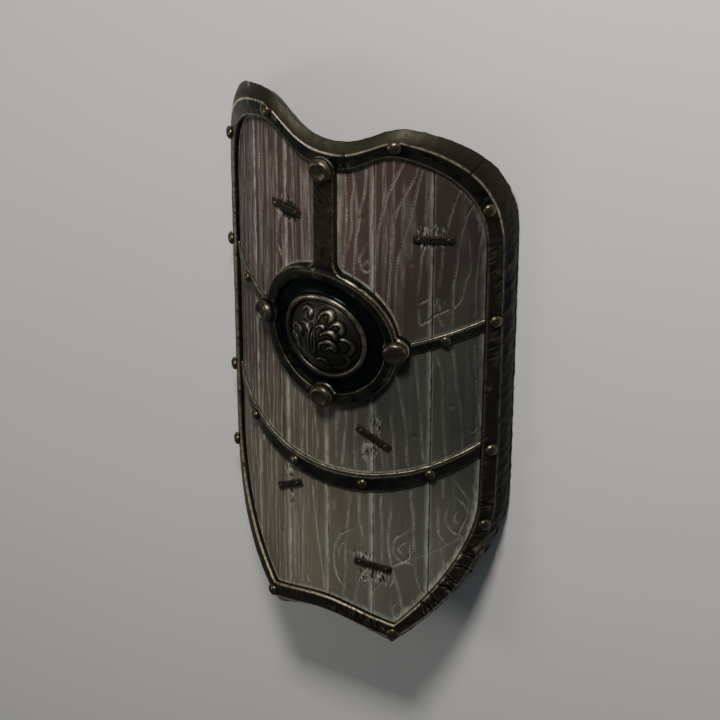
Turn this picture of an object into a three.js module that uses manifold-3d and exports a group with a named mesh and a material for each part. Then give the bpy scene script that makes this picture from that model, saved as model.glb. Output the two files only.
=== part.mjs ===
// Tower shield: six bowed boards in a forged iron rim, with a ring, straps, a band and a raised boss.
// Millimetres. X runs across the shield, Y up it, and Z out of its front. It lies on its back, boss up.
import * as THREE from 'three';
import { mergeVertices } from 'three/addons/utils/BufferGeometryUtils.js';
import Module from 'manifold-3d';

const wasm = await Module();
wasm.setup();

// The bow and the whole shield. Lengths across are measured along the bow of the rim's front face.
const bowRadius = 371;
const shieldHeight = 1174;
const fitGap = 0.4;
const seatGap = 0.6;

// Outer edge of the rim
const topDip = 46;
const peakAcross = 160;
const shoulderDrop = 250;
const halfWidth = 385;
const flankInset = 2;
const flankRise = 345;
const cornerAcross = 138;
const archRise = 51;

// Width of the rim at the same places, and how far its inner edge is shifted along it
const rimAtDip = 56;
const rimAtPeak = 54;
const peakShift = 20;
const rimAtSide = 72;
const shoulderShift = 20;
const rimAtFlank = 74;
const rimAtCorner = 55;
const cornerShift = -5;
const rimAtArch = 40;

// Section of the rim
const rimRise = 12;
const faceWidth = 32;
const innerBevel = 3;
const edgeDrop = 16;
const edgeCrown = 2.7;
const lipThickness = 6;
const lipInset = 8;
const boardSeat = 22;
const landingCut = 5;

// The back of the rim is drawn in round the head, between these two heights
const headUndercut = 12;
const undercutFrom = 400;
const undercutFull = 500;

// Boards
const boardThickness = 12;
const boardJoints = [-206, -99, 0, 98, 211];
const boardChamfer = 2.5;

// Ring, its ears and the upright strap, forged in one. Where they meet, one stands a small step over
// the other.
const bossAbove = 122;
const ringInner = 120;
const ringOuter = 150;
const frameRise = 17;
const frameBevel = 6;
const forgedStep = 0.5;
const earRadius = 28;
const sideEarOut = 7.5;
const lowEarIn = 6;
const uprightWidth = 48;
const uprightFillet = 26;
const lugTaper = 2;

// Boss
const bossFlangeRise = 6;
const beadRadius = 90;
const beadThickness = 6;
const beadLift = 1;
const domeLift = 4;
const domeHeight = 30;
const bossWall = 3;
const handHole = 70;
const scrollHeight = 3.1;
const scrollWidth = 4.2;
const scrollMargin = 12;

// Straps and band
const strapRise = 5;
const strapBevel = 2.5;
const sideStrapWidth = 24;
const sideStrapClimb = 43;
const strapRivetShare = 0.46;
const bandWidth = 43;
const bandEndWidth = 32;
const bandDrop = 116;
const bandSag = 87;
const bandRivetShares = [0.25, 0.68];

// Heads of bolts, rivets and nails
const boltRadius = 24;
const boltFlat = 14;
const boltSkirt = 3.5;
const boltHeight = 14;
const rivetRadius = 13;
const rivetSkirt = 2.5;
const rivetHeight = 10;
const smallRivetRadius = 11;
const smallRivetSkirt = 2.2;
const smallRivetHeight = 9;
const nailRadius = 4.5;
const nailSkirt = 0.5;
const nailHeight = 2;

// Cleats: the joint that each one bridges, how high it lies from the peak, the boss, the band or the
// corner, and how far it is turned
const cleatLength = 78;
const cleatWidth = 14;
const cleatThickness = 4;
const cleatBevel = 1.2;
const nailInset = 11;
const cleats = [
  { joint: 1, from: 'peak', up: -225, turn: 2 },
  { joint: 4, from: 'peak', up: -228, turn: -3 },
  { joint: 3, from: 'boss', up: -213, turn: -31 },
  { joint: 1, from: 'band', up: -66, turn: 32 },
  { joint: 3, from: 'corner', up: 192, turn: -9 },
];

// Grip
const gripLength = 210;
const gripEndWidth = 31;
const gripMiddleWidth = 26;
const gripEndThickness = 5.4;
const gripMiddleThickness = 11.7;
const gripBevel = 2.2;

// Facets
const facetLength = 26;
const leastFacet = 1;
const ringFacets = 36;
const domeRings = 12;
const hollowRings = 4;
const beadFacets = 5;
const holeFacets = 24;
const earFacets = 14;
const filletFacets = 4;
const headFacets = 10;
const headRings = 3;
const nailFacets = 6;
const nailRings = 2;

const woodFront = -rimRise;
const woodBack = woodFront - boardThickness;
const rimBack = woodBack - lipThickness;
const ironBase = woodFront + fitGap;
const peak = shieldHeight / 2;
const corner = -shieldHeight / 2;
const frameTop = woodFront + frameRise;
const strapTop = woodFront + strapRise;
const ringMiddle = (ringInner + ringOuter) / 2;
const sideEarAcross = ringMiddle + sideEarOut;

// The rim's lowest corner decides how high the whole shield stands.
const edgeAngle = halfWidth / bowRadius;
const lowest = (bowRadius + rimBack) * Math.cos(edgeAngle) - bowRadius;
const lift = -(lowest + landingCut);

// Bends a point of the flat pattern round the bow: across, up, and out from the rim's face.
function bend(across, up, out) {
  const angle = across / bowRadius;
  const radius = bowRadius + out;
  return [radius * Math.sin(angle), up, radius * Math.cos(angle) - bowRadius + lift];
}

function bendGeometry(geometry) {
  const place = geometry.attributes.position;
  for (let i = 0; i < place.count; i += 1) {
    place.setXYZ(i, ...bend(place.getX(i), place.getY(i), place.getZ(i)));
  }
  return geometry;
}

// The same shape with its vertices merged, and without the triangles that this closes to a line
function bare(geometry) {
  const copy = geometry.clone();
  copy.deleteAttribute('normal');
  copy.deleteAttribute('uv');
  const merged = mergeVertices(copy, 1e-3);
  const index = Array.from(merged.index.array);
  const kept = [];
  for (let i = 0; i < index.length; i += 3) {
    const [a, b, c] = index.slice(i, i + 3);
    if (a !== b && b !== c && c !== a) {
      kept.push(a, b, c);
    }
  }
  merged.setIndex(kept);
  return merged;
}

// A closed body from its corners and faces. The faces are turned outwards, by the sign of its volume.
function fromTriangles(points, faces) {
  const place = (i) => new THREE.Vector3(...points[i]);
  const volume = faces.reduce((sum, [a, b, c]) => sum + place(a).dot(place(b).cross(place(c))), 0);
  const outward = volume < 0 ? faces.map(([a, b, c]) => [a, c, b]) : faces;
  const geometry = new THREE.BufferGeometry();
  geometry.setAttribute('position', new THREE.Float32BufferAttribute(points.flat(), 3));
  geometry.setIndex(outward.flat());
  return geometry;
}

function toSolid(geometry) {
  const mesh = bare(geometry);
  return new wasm.Manifold(new wasm.Mesh({
    numProp: 3,
    vertProperties: Float32Array.from(mesh.attributes.position.array),
    triVerts: Uint32Array.from(mesh.index.array),
  }));
}

function fromSolid(solid) {
  const mesh = solid.getMesh();
  const geometry = new THREE.BufferGeometry();
  geometry.setAttribute('position', new THREE.Float32BufferAttribute(mesh.vertProperties, 3));
  geometry.setIndex(Array.from(mesh.triVerts));
  return geometry;
}

// Like sections joined from each to the next. An open run is closed by a fan at each end.
function loft(sections, closed) {
  const size = sections[0].length;
  const faces = [];
  const last = closed ? sections.length : sections.length - 1;
  for (let i = 0; i < last; i += 1) {
    const here = i * size;
    const next = ((i + 1) % sections.length) * size;
    for (let j = 0; j < size; j += 1) {
      const k = (j + 1) % size;
      faces.push([here + j, here + k, next + k], [here + j, next + k, next + j]);
    }
  }
  if (!closed) {
    const end = (sections.length - 1) * size;
    for (let j = 1; j + 1 < size; j += 1) {
      faces.push([0, j + 1, j], [end, end + j, end + j + 1]);
    }
  }
  return fromTriangles(sections.flat(), faces);
}

// A round piece whose profile is given from the axis outwards and back, with its axis along Z
function turned(profile, segments) {
  const geometry = bare(new THREE.LatheGeometry(profile.map(([r, h]) => new THREE.Vector2(r, h)), segments));
  return geometry.rotateX(Math.PI / 2);
}

// Even steps from one value to another, no longer than a facet
function evenSteps(from, to) {
  const count = Math.ceil((to - from) / facetLength);
  return Array.from({ length: count + 1 }, (_, i) => from + ((to - from) * i) / count);
}

// The two handles of each curve of an edge, as shares of the curve's own span across and up
const edgeHandles = [
  [[0.48, -0.04], [0.67, 1]],
  [[0.43, 0.05], [1, 0.33]],
  [[0, 0.33], [0, 0.73]],
  [[0.02, 0.35], [0.59, 0.75]],
  [[0.26, 0.3], [0.65, 1]],
];

// Right half of an edge of the rim, as curves through the spots from the dip to the arch in the foot
function halfEdge(spots) {
  return edgeHandles.map((handles, i) => {
    const start = new THREE.Vector2(...spots[i]);
    const end = new THREE.Vector2(...spots[i + 1]);
    const span = end.clone().sub(start);
    const [first, second] = handles.map(([x, y]) => new THREE.Vector2(x, y).multiply(span).add(start));
    return new THREE.CubicBezierCurve(start, first, second, end);
  });
}

const outerEdge = halfEdge([
  [0, peak - topDip],
  [peakAcross, peak],
  [halfWidth, peak - shoulderDrop],
  [halfWidth - flankInset, corner + flankRise],
  [cornerAcross, corner],
  [0, corner + archRise],
]);
const rimInnerTop = peak - topDip - rimAtDip;
const innerEdge = halfEdge([
  [0, rimInnerTop],
  [peakAcross - peakShift, peak - rimAtPeak],
  [halfWidth - rimAtSide, peak - shoulderDrop - shoulderShift],
  [halfWidth - flankInset - rimAtFlank, corner + flankRise],
  [cornerAcross - cornerShift, corner + rimAtCorner],
  [0, corner + archRise + rimAtArch],
]);

// A place on the rim, out from its inner edge by a share of its width there and by a length
function onRim({ curve, along, side }, share, length) {
  const inner = innerEdge[curve].getPoint(along);
  const way = outerEdge[curve].getPoint(along).sub(inner);
  const spot = inner.addScaledVector(way, share + length / way.length());
  return [side * spot.x, spot.y];
}

// Every station round the rim, clockwise seen from the front, starting at the dip in the top
const curveSteps = [7, 9, 5, 7, 5];
const rightStations = curveSteps.flatMap((steps, curve) => (
  Array.from({ length: steps }, (_, i) => ({ curve, along: i / steps, side: 1 }))
));
const foot = { curve: curveSteps.length - 1, along: 1, side: 1 };
const leftStations = rightStations.slice(1).reverse().map((station) => ({ ...station, side: -1 }));
const stations = [...rightStations, foot, ...leftStations];

function rimLoop(share, length) {
  return stations.map((station) => onRim(station, share, length));
}

// Where a loop crosses a line of one coordinate, as the values of the other one
function crossings(loop, value, coordinate) {
  const other = 1 - coordinate;
  return loop.flatMap((here, i) => {
    const next = loop[(i + 1) % loop.length];
    if ((here[coordinate] <= value) === (next[coordinate] <= value)) {
      return [];
    }
    const share = (value - here[coordinate]) / (next[coordinate] - here[coordinate]);
    return [here[other] + share * (next[other] - here[other])];
  });
}

function undercutAt(station) {
  const up = onRim(station, 1, 0)[1];
  return headUndercut * THREE.MathUtils.smoothstep(up, undercutFrom, undercutFull);
}

// The rim wraps the edge of the boards: a face in front, a slope to the outer edge and a lip behind.
// It is cut level underneath, where it lies on the floor.
function buildRim() {
  const section = [
    [0, 0, woodFront + seatGap],
    [0, boardSeat / 2, woodFront + seatGap],
    [0, boardSeat + seatGap, woodFront + seatGap],
    [0, boardSeat + seatGap, woodBack - seatGap],
    [0, lipInset, woodBack - seatGap],
    [0, lipInset, rimBack],
    [0.5, lipInset / 2, rimBack, 0.5],
    [1, 0, rimBack, 1],
    [1, 0, -edgeDrop],
    [0.5, faceWidth / 2, edgeCrown - edgeDrop / 2],
    [0, faceWidth, 0],
    [0, innerBevel, 0],
    [0, 0, -innerBevel],
  ];
  const loops = section.map(([share, length, out, drawnIn = 0]) => stations.map((station) => (
    bend(...onRim(station, share, length - drawnIn * undercutAt(station)), out)
  )));
  const sections = stations.map((_, i) => loops.map((loop) => loop[i]));
  const below = new THREE.BoxGeometry(3 * halfWidth, 2 * shieldHeight, shieldHeight);
  below.translate(0, 0, -shieldHeight / 2);
  return fromSolid(toSolid(loft(sections, true)).subtract(toSolid(below)));
}

const boardOutline = rimLoop(0, boardSeat);

// A board runs the whole height inside the rim, with its front corners chamfered along the joints.
function buildBoard(from, to, hole) {
  const inner = [from + boardChamfer, to - boardChamfer];
  const marks = [...evenSteps(...inner), ...boardOutline.map(([across]) => across)];
  const inside = marks.filter((across) => across > inner[0] + leastFacet && across < inner[1] - leastFacet);
  const across = [from, ...inner, ...inside, to].sort((a, b) => a - b);
  const points = across.flatMap((place, i) => {
    const heights = crossings(boardOutline, place, 0);
    const top = Math.max(...heights);
    const bottom = Math.min(...heights);
    const front = i === 0 || i === across.length - 1 ? woodFront - boardChamfer : woodFront;
    return [[bottom, front], [top, front], [top, woodBack], [bottom, woodBack]]
      .map(([up, out]) => bend(place, up, out));
  });
  const sections = across.map((_, i) => points.slice(4 * i, 4 * i + 4));
  const board = loft(sections, false);
  return Math.min(Math.abs(from), Math.abs(to)) < handHole ? fromSolid(toSolid(board).subtract(hole)) : board;
}

function handHoleSolid() {
  const hole = new THREE.CylinderGeometry(handHole, handHole, 4 * boardThickness, holeFacets);
  hole.rotateX(Math.PI / 2);
  hole.translate(0, bossAbove, (woodFront + woodBack) / 2);
  return toSolid(bendGeometry(hole));
}

function buildRing() {
  const section = [
    [ringInner, ironBase],
    [ringMiddle, ironBase],
    [ringOuter, ironBase],
    [ringOuter, frameTop - frameBevel],
    [ringOuter - frameBevel, frameTop],
    [ringInner + frameBevel / 2, frameTop],
    [ringInner, frameTop - frameBevel / 2],
  ];
  const sections = Array.from({ length: ringFacets }, (_, i) => {
    const angle = (2 * Math.PI * i) / ringFacets;
    return section.map(([r, out]) => [r * Math.sin(angle), bossAbove + r * Math.cos(angle), out]);
  });
  return loft(sections, true);
}

// The upright strap flares into the ring in a fillet on each side.
function buildUpright() {
  const base = ironBase + forgedStep;
  const top = frameTop - forgedStep;
  const slim = uprightWidth / 2;
  const wide = slim + uprightFillet;
  const filletFoot = bossAbove + Math.sqrt(ringOuter ** 2 - wide ** 2);
  const fillet = Array.from({ length: filletFacets + 1 }, (_, i) => {
    const angle = (Math.PI / 2) * (i / filletFacets);
    return [filletFoot + uprightFillet * (1 - Math.cos(angle)), wide - uprightFillet * Math.sin(angle)];
  });
  const places = [[filletFoot - frameBevel, wide], ...fillet, [rimInnerTop - fitGap, slim]];
  const sections = places.map(([up, half]) => [
    [-half, up, base],
    [0, up, base],
    [half, up, base],
    [half, up, top - frameBevel],
    [half - frameBevel, up, top],
    [0, up, top],
    [frameBevel - half, up, top],
    [-half, up, top - frameBevel],
  ]);
  return loft(sections, false);
}

function earAt(across, up) {
  const base = ironBase + 2 * forgedStep;
  const profile = [
    [0, base],
    [earRadius / 2, base],
    [earRadius, base],
    [earRadius, frameTop - frameBevel],
    [earRadius - frameBevel, frameTop + forgedStep],
    [0, frameTop + forgedStep],
  ];
  return turned(profile, earFacets).translate(across, up, 0);
}

const boltSpots = {
  top: [0, rimInnerTop],
  left: [-sideEarAcross, bossAbove],
  right: [sideEarAcross, bossAbove],
  bottom: [0, bossAbove - ringMiddle + lowEarIn],
};
const boltSeat = frameTop + forgedStep;

// The lug at the head of the upright strap lies over the rim's face, and the ears over the boss's flange.
function buildFrame() {
  const lugProfile = [[0, fitGap], [earRadius, fitGap], [earRadius - lugTaper, boltSeat], [0, boltSeat]];
  const lug = turned(lugProfile, earFacets).translate(...boltSpots.top, 0);
  const ears = [boltSpots.left, boltSpots.right, boltSpots.bottom].map((spot) => earAt(...spot));
  const parts = [buildRing(), buildUpright(), lug, ...ears];
  const whole = parts.map((part) => toSolid(bendGeometry(part))).reduce((sum, part) => sum.add(part));
  const roomRadius = ringInner + fitGap;
  const roomTop = woodFront + bossFlangeRise + fitGap;
  const room = turned([
    [0, rimBack],
    [roomRadius, rimBack],
    [roomRadius, roomTop],
    [roomRadius - earRadius / 2, roomTop],
    [roomRadius - earRadius, roomTop],
    [0, roomTop],
  ], ringFacets).translate(0, bossAbove, 0);
  return fromSolid(whole.subtract(toSolid(bendGeometry(room))));
}

// Leaf scroll on the dome: arcs by their middle, radius, and first and last angle in degrees
const scrolls = [
  { x: 12, y: 51, radius: 12, from: -20, to: 205 },
  { x: 34, y: 34, radius: 11, from: -50, to: 170 },
  { x: -30, y: 50, radius: 10, from: -10, to: 190 },
  { x: 5, y: 31, radius: 7, from: 10, to: 200 },
  { x: 21, y: 13, radius: 15, from: 15, to: 160 },
  { x: 20, y: -7, radius: 15, from: 10, to: 205 },
  { x: 27, y: -11, radius: 8, from: 0, to: 180 },
  { x: -28, y: 24, radius: 9, from: -20, to: 170 },
  { x: -47, y: 8, radius: 12, from: 10, to: 200 },
  { x: -54, y: -14, radius: 11, from: 10, to: 215 },
  { x: 103, y: 2, radius: 120, from: 166, to: 192 },
  { x: -123, y: 0, radius: 120, from: -13, to: 12 },
  { x: -30, y: -35, radius: 18, from: 120, to: 262 },
  { x: 7, y: -46, radius: 11, from: 0, to: 190 },
  { x: 36, y: -34, radius: 20, from: -110, to: 65 },
  { x: 45, y: -3, radius: 19, from: -60, to: 100 },
];

function scrollRise(x, y) {
  const rises = scrolls.map((arc) => {
    const middle = THREE.MathUtils.degToRad((arc.from + arc.to) / 2);
    const reach = THREE.MathUtils.degToRad((arc.to - arc.from) / 2);
    const angle = Math.atan2(y - arc.y, x - arc.x) - middle;
    const turn = THREE.MathUtils.clamp(Math.atan2(Math.sin(angle), Math.cos(angle)), -reach, reach) + middle;
    const away = Math.hypot(x - arc.x - arc.radius * Math.cos(turn), y - arc.y - arc.radius * Math.sin(turn));
    return scrollHeight * Math.exp(-((away / scrollWidth) ** 2));
  });
  return Math.max(...rises);
}

// Profile of a spherical cap, from its foot to the axis
function capArc(footRadius, sphereRadius, middle, steps) {
  const reach = Math.asin(footRadius / sphereRadius);
  return Array.from({ length: steps + 1 }, (_, i) => {
    const angle = reach * (1 - i / steps);
    return [sphereRadius * Math.sin(angle), middle + sphereRadius * Math.cos(angle)];
  });
}

const domeRadius = beadRadius - 2 * beadThickness;

// The boss is one raised sheet, hollow behind: a dome inside a rolled bead, and a flange under the ring.
function buildBoss() {
  const flangeTop = woodFront + bossFlangeRise;
  const domeFoot = flangeTop + domeLift;
  const sphere = (domeRadius ** 2 + domeHeight ** 2) / (2 * domeHeight);
  const middle = domeFoot + domeHeight - sphere;
  const beadMiddle = beadRadius - beadThickness;
  const flangeMiddle = (beadRadius + ringInner) / 2;
  const bead = Array.from({ length: beadFacets }, (_, i) => {
    const angle = (Math.PI * i) / beadFacets;
    const out = domeFoot + beadLift + beadThickness * Math.sin(angle);
    return [beadMiddle + beadThickness * Math.cos(angle), out];
  });
  const profile = [
    ...capArc(domeRadius - bossWall, sphere - bossWall, middle, hollowRings).reverse(),
    [domeRadius - bossWall, ironBase],
    [flangeMiddle, ironBase],
    [ringInner - fitGap, ironBase],
    [ringInner - fitGap, flangeTop],
    [flangeMiddle, flangeTop],
    [beadRadius, flangeTop],
    ...bead,
    ...capArc(domeRadius, sphere, middle, domeRings),
  ];
  const geometry = turned(profile, ringFacets);
  const place = geometry.attributes.position;
  for (let i = 0; i < place.count; i += 1) {
    const [x, y, z] = [place.getX(i), place.getY(i), place.getZ(i)];
    const radius = Math.hypot(x, y);
    const surface = middle + Math.sqrt(Math.max(sphere ** 2 - radius ** 2, 0));
    if (radius < domeRadius && Math.abs(z - surface) < bossWall / 2) {
      const fade = THREE.MathUtils.smoothstep(domeRadius - radius, 0, scrollMargin);
      place.setZ(i, z + fade * scrollRise(x, y));
    }
  }
  return bendGeometry(geometry.translate(0, bossAbove, 0));
}

// Section of a flat bar that lies on the boards, from its middle line: up the shield, and out
function barSection(width, top, bevel) {
  const half = width / 2;
  return [
    [-half, ironBase],
    [-half, top - bevel],
    [bevel - half, top],
    [half - bevel, top],
    [half, top - bevel],
    [half, ironBase],
  ];
}

function bentBar(places) {
  return loft(places.map(([across, up, width]) => (
    barSection(width, strapTop, strapBevel).map(([over, out]) => bend(across, up + over, out))
  )), false);
}

// Bars end where the rim's inner edge stands over the lowest corner of their ends.
function rimAcross(up) {
  return Math.max(...crossings(rimLoop(0, 0), up, 1));
}

const strapStart = sideEarAcross + earRadius + fitGap;
const strapEnd = rimAcross(bossAbove + sideStrapClimb - sideStrapWidth) - 2 * fitGap;

function strapMiddle(across) {
  return bossAbove + (sideStrapClimb * (across - strapStart)) / (strapEnd - strapStart);
}

function buildSideStrap(side) {
  return bentBar(evenSteps(strapStart, strapEnd).map((across) => (
    [side * across, strapMiddle(across), sideStrapWidth]
  )));
}

const bandEnd = rimAcross(-bandDrop - bandEndWidth) - fitGap;

// The band hangs in a parabola and narrows towards its ends.
function bandShare(across) {
  return 1 - (across / bandEnd) ** 2;
}

function bandHeight(across) {
  return -bandDrop - bandSag * bandShare(across);
}

function buildBand() {
  return bentBar(evenSteps(-bandEnd, bandEnd).map((across) => (
    [across, bandHeight(across), bandEndWidth + (bandWidth - bandEndWidth) * bandShare(across)]
  )));
}

// The grip is a bar across the hand hole behind the boards, thick and narrow in its middle.
function buildGrip() {
  const top = woodBack - fitGap;
  const sections = evenSteps(-gripLength / 2, gripLength / 2).map((across) => {
    const swell = Math.cos((Math.PI * across) / gripLength) ** 2;
    const bottom = top - THREE.MathUtils.lerp(gripEndThickness, gripMiddleThickness, swell);
    const half = THREE.MathUtils.lerp(gripEndWidth, gripMiddleWidth, swell) / 2;
    return [
      [-half, bottom + gripBevel],
      [-half, top - gripBevel],
      [gripBevel - half, top],
      [half - gripBevel, top],
      [half, top - gripBevel],
      [half, bottom + gripBevel],
      [half - gripBevel, bottom],
      [gripBevel - half, bottom],
    ].map(([over, out]) => bend(across, bossAbove + over, out));
  });
  return loft(sections, false);
}

const levels = { peak, boss: bossAbove, band: bandHeight(0), corner };

function onCleat({ joint, from, up, turn }, along, over) {
  const angle = THREE.MathUtils.degToRad(turn);
  return [
    boardJoints[joint] + along * Math.cos(angle) - over * Math.sin(angle),
    levels[from] + up + along * Math.sin(angle) + over * Math.cos(angle),
  ];
}

const cleatTop = ironBase + cleatThickness;

function buildCleat(cleat) {
  const section = barSection(cleatWidth, cleatTop, cleatBevel);
  return loft(evenSteps(-cleatLength / 2, cleatLength / 2).map((along) => (
    section.map(([over, out]) => bend(...onCleat(cleat, along, over), out))
  )), false);
}

// Profile of a round head: an upright skirt, then a quarter of an ellipse up to the flat on top
function headProfile(radius, flat, skirt, height, rings) {
  const crown = Array.from({ length: rings + 1 }, (_, i) => {
    const angle = (Math.PI / 2) * (i / rings);
    return [flat + (radius - flat) * Math.cos(angle), skirt + (height - skirt) * Math.sin(angle)];
  });
  return [[0, 0], [radius, 0], ...crown, ...(flat > 0 ? [[0, height]] : [])];
}

const boltHead = headProfile(boltRadius, boltFlat, boltSkirt, boltHeight, headRings);
const rimRivet = headProfile(rivetRadius, 0, rivetSkirt, rivetHeight, headRings);
const smallRivet = headProfile(smallRivetRadius, 0, smallRivetSkirt, smallRivetHeight, headRings);
const nailHead = headProfile(nailRadius, 0, nailSkirt, nailHeight, nailRings);

const finishes = {
  oak: { color: 0x4a4038, roughness: 0.8, metalness: 0 },
  iron: { color: 0x23262a, roughness: 0.45, metalness: 0.9 },
  rivetIron: { color: 0x4a4434, roughness: 0.4, metalness: 0.9 },
  rust: { color: 0x3a241b, roughness: 0.7, metalness: 0.6 },
};

const shield = new THREE.Group();

function add(name, geometry, finish) {
  const mesh = new THREE.Mesh(geometry, new THREE.MeshStandardMaterial(finishes[finish]));
  mesh.name = name;
  shield.add(mesh);
  return mesh;
}

// A head stands square to the bow where it sits.
function addHead(name, profile, facets, [across, up], seat, finish) {
  const mesh = add(name, turned(profile, facets), finish);
  mesh.position.set(...bend(across, up, seat + fitGap));
  mesh.rotation.y = across / bowRadius;
}

const hole = handHoleSolid();
const boardReach = Math.max(...boardOutline.map(([across]) => across)) - leastFacet;
const boardEdges = [-boardReach, ...boardJoints, boardReach];
boardEdges.slice(1).forEach((to, i) => {
  add(`board_${i + 1}`, buildBoard(boardEdges[i] + fitGap / 2, to - fitGap / 2, hole), 'oak');
});

add('rim', buildRim(), 'iron');
add('frame', buildFrame(), 'iron');
add('boss', buildBoss(), 'iron');
add('side_strap_left', buildSideStrap(-1), 'iron');
add('side_strap_right', buildSideStrap(1), 'iron');
add('band', buildBand(), 'iron');
add('grip', buildGrip(), 'iron');

Object.entries(boltSpots).forEach(([where, spot]) => {
  addHead(`bolt_${where}`, boltHead, headFacets, spot, boltSeat, 'iron');
});

const faceMiddle = (innerBevel + faceWidth) / 2;
const rivetPlaces = [
  { curve: 0, along: 0.92, length: 24 },
  { curve: 1, along: 0.75 },
  { curve: 2, along: 0.25 },
  { curve: 2, along: 0.75 },
  { curve: 3, along: 0.15 },
  { curve: 3, along: 1 },
];
[['left', -1], ['right', 1]].forEach(([name, side]) => {
  rivetPlaces.forEach((place, i) => {
    const spot = onRim({ ...place, side }, 0, place.length ?? faceMiddle);
    addHead(`rim_rivet_${name}_${i + 1}`, rimRivet, headFacets, spot, 0, 'rivetIron');
  });
  bandRivetShares.forEach((share, i) => {
    const spot = [side * share * bandEnd, bandHeight(share * bandEnd)];
    addHead(`band_rivet_${name}_${i + 1}`, smallRivet, headFacets, spot, strapTop, 'rivetIron');
  });
  const across = THREE.MathUtils.lerp(strapStart, strapEnd, strapRivetShare);
  const spot = [side * across, strapMiddle(across)];
  addHead(`strap_rivet_${name}`, smallRivet, headFacets, spot, strapTop, 'rivetIron');
});

const nailReach = cleatLength / 2 - nailInset;
cleats.forEach((cleat, i) => {
  add(`cleat_${i + 1}`, buildCleat(cleat), 'rust');
  [-nailReach, nailReach].forEach((along, j) => {
    addHead(`cleat_nail_${i + 1}_${j + 1}`, nailHead, nailFacets, onCleat(cleat, along, 0), cleatTop, 'rust');
  });
});

export default shield;
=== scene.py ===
import math

import bpy
import numpy as np
from mathutils import Matrix, Vector, kdtree


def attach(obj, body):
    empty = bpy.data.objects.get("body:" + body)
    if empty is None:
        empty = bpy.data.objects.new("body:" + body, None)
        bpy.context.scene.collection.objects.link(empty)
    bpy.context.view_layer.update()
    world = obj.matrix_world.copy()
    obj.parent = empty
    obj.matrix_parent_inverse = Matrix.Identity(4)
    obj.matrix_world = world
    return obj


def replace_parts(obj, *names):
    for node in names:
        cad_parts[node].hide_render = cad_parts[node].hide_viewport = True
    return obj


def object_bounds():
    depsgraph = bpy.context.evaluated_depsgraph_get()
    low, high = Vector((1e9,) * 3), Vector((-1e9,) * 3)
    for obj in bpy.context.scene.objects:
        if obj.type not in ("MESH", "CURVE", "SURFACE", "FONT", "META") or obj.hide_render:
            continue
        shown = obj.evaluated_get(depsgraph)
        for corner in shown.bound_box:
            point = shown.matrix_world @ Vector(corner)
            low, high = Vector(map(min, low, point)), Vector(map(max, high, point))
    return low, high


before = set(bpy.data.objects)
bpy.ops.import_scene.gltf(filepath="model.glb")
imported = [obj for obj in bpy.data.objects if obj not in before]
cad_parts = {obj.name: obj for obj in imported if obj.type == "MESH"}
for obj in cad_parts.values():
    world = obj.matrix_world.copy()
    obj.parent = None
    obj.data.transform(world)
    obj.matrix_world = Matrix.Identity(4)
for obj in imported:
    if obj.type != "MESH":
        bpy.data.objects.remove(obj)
cad_box = [list(corner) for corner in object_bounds()]


# The camera stands over the lying shield, a little to its right and beyond its foot, with a long lens.
camera_across = (0.8597, 0.0004, -0.5108)
camera_up = (-0.2851, 0.8302, -0.4791)
camera_back = (0.4239, 0.5575, 0.7138)
camera_spot = (2.4711, 3.2429, 4.2219)

lens = bpy.data.cameras.new("camera")
lens.lens = 151.6
lens.sensor_width = 36
lens.clip_end = 50
camera = bpy.data.objects.new("camera", lens)
bpy.context.scene.collection.objects.link(camera)
turn = Matrix((camera_across, camera_up, camera_back)).transposed()
camera.matrix_world = Matrix.Translation(camera_spot) @ turn.to_4x4()
bpy.context.scene.camera = camera


# The floor is a plain pale board, and the light is soft: a lamp low beyond the head of the shield, which
# grazes the boards, a weak warm one on its left, and the dim room.
floor_half = 6.0
floor_dull = (0.74, 0.74, 0.73)
floor_pale = (0.80, 0.80, 0.79)
room_colour = (0.78, 0.84, 0.90, 1)
room_strength = 0.10


def add_node(tree, kind, inputs=None, **settings):
    """A node with its inputs: a socket is linked, and anything else is set on the input itself."""
    made = tree.nodes.new(kind)
    for name, value in settings.items():
        setattr(made, name, value)
    for key, value in (inputs or {}).items():
        if isinstance(value, bpy.types.NodeSocket):
            tree.links.new(value, made.inputs[key])
        else:
            made.inputs[key].default_value = value
    return made


def blend(tree, share, first, second, how="MIX"):
    """One colour over another"""
    first, second = ((*tone, 1.0) if isinstance(tone, tuple) else tone for tone in (first, second))
    inputs = {0: share, 6: first, 7: second}
    return add_node(tree, "ShaderNodeMix", inputs, data_type="RGBA", blend_type=how).outputs[2]


def mottle(tree, place, scale, detail=4.0, roughness=0.55):
    inputs = {"Vector": place, "Scale": scale, "Detail": detail, "Roughness": roughness}
    return add_node(tree, "ShaderNodeTexNoise", inputs).outputs["Fac"]


def finish_of(name, metallic, specular=0.5):
    """A new material: its tree, its shader, and the place on the object"""
    material = bpy.data.materials.new(name)
    material.use_nodes = True
    tree = material.node_tree
    shader = tree.nodes["Principled BSDF"]
    shader.inputs["Metallic"].default_value = metallic
    shader.inputs["Specular IOR Level"].default_value = specular
    place = add_node(tree, "ShaderNodeTexCoord").outputs["Object"]
    return material, tree, shader, place


floor_mesh = bpy.data.meshes.new("floor")
floor_corners = [(x * floor_half, y * floor_half, 0) for x, y in ((-1, -1), (1, -1), (1, 1), (-1, 1))]
floor_mesh.from_pydata(floor_corners, [], [(0, 1, 2, 3)])
floor = bpy.data.objects.new("floor", floor_mesh)
bpy.context.scene.collection.objects.link(floor)
floor_paint, tree, shader, place = finish_of("floor_paint", 0.0)
tree.links.new(blend(tree, mottle(tree, place, 1.3), floor_dull, floor_pale), shader.inputs["Base Color"])
shader.inputs["Roughness"].default_value = 0.85
floor_mesh.materials.append(floor_paint)

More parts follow.
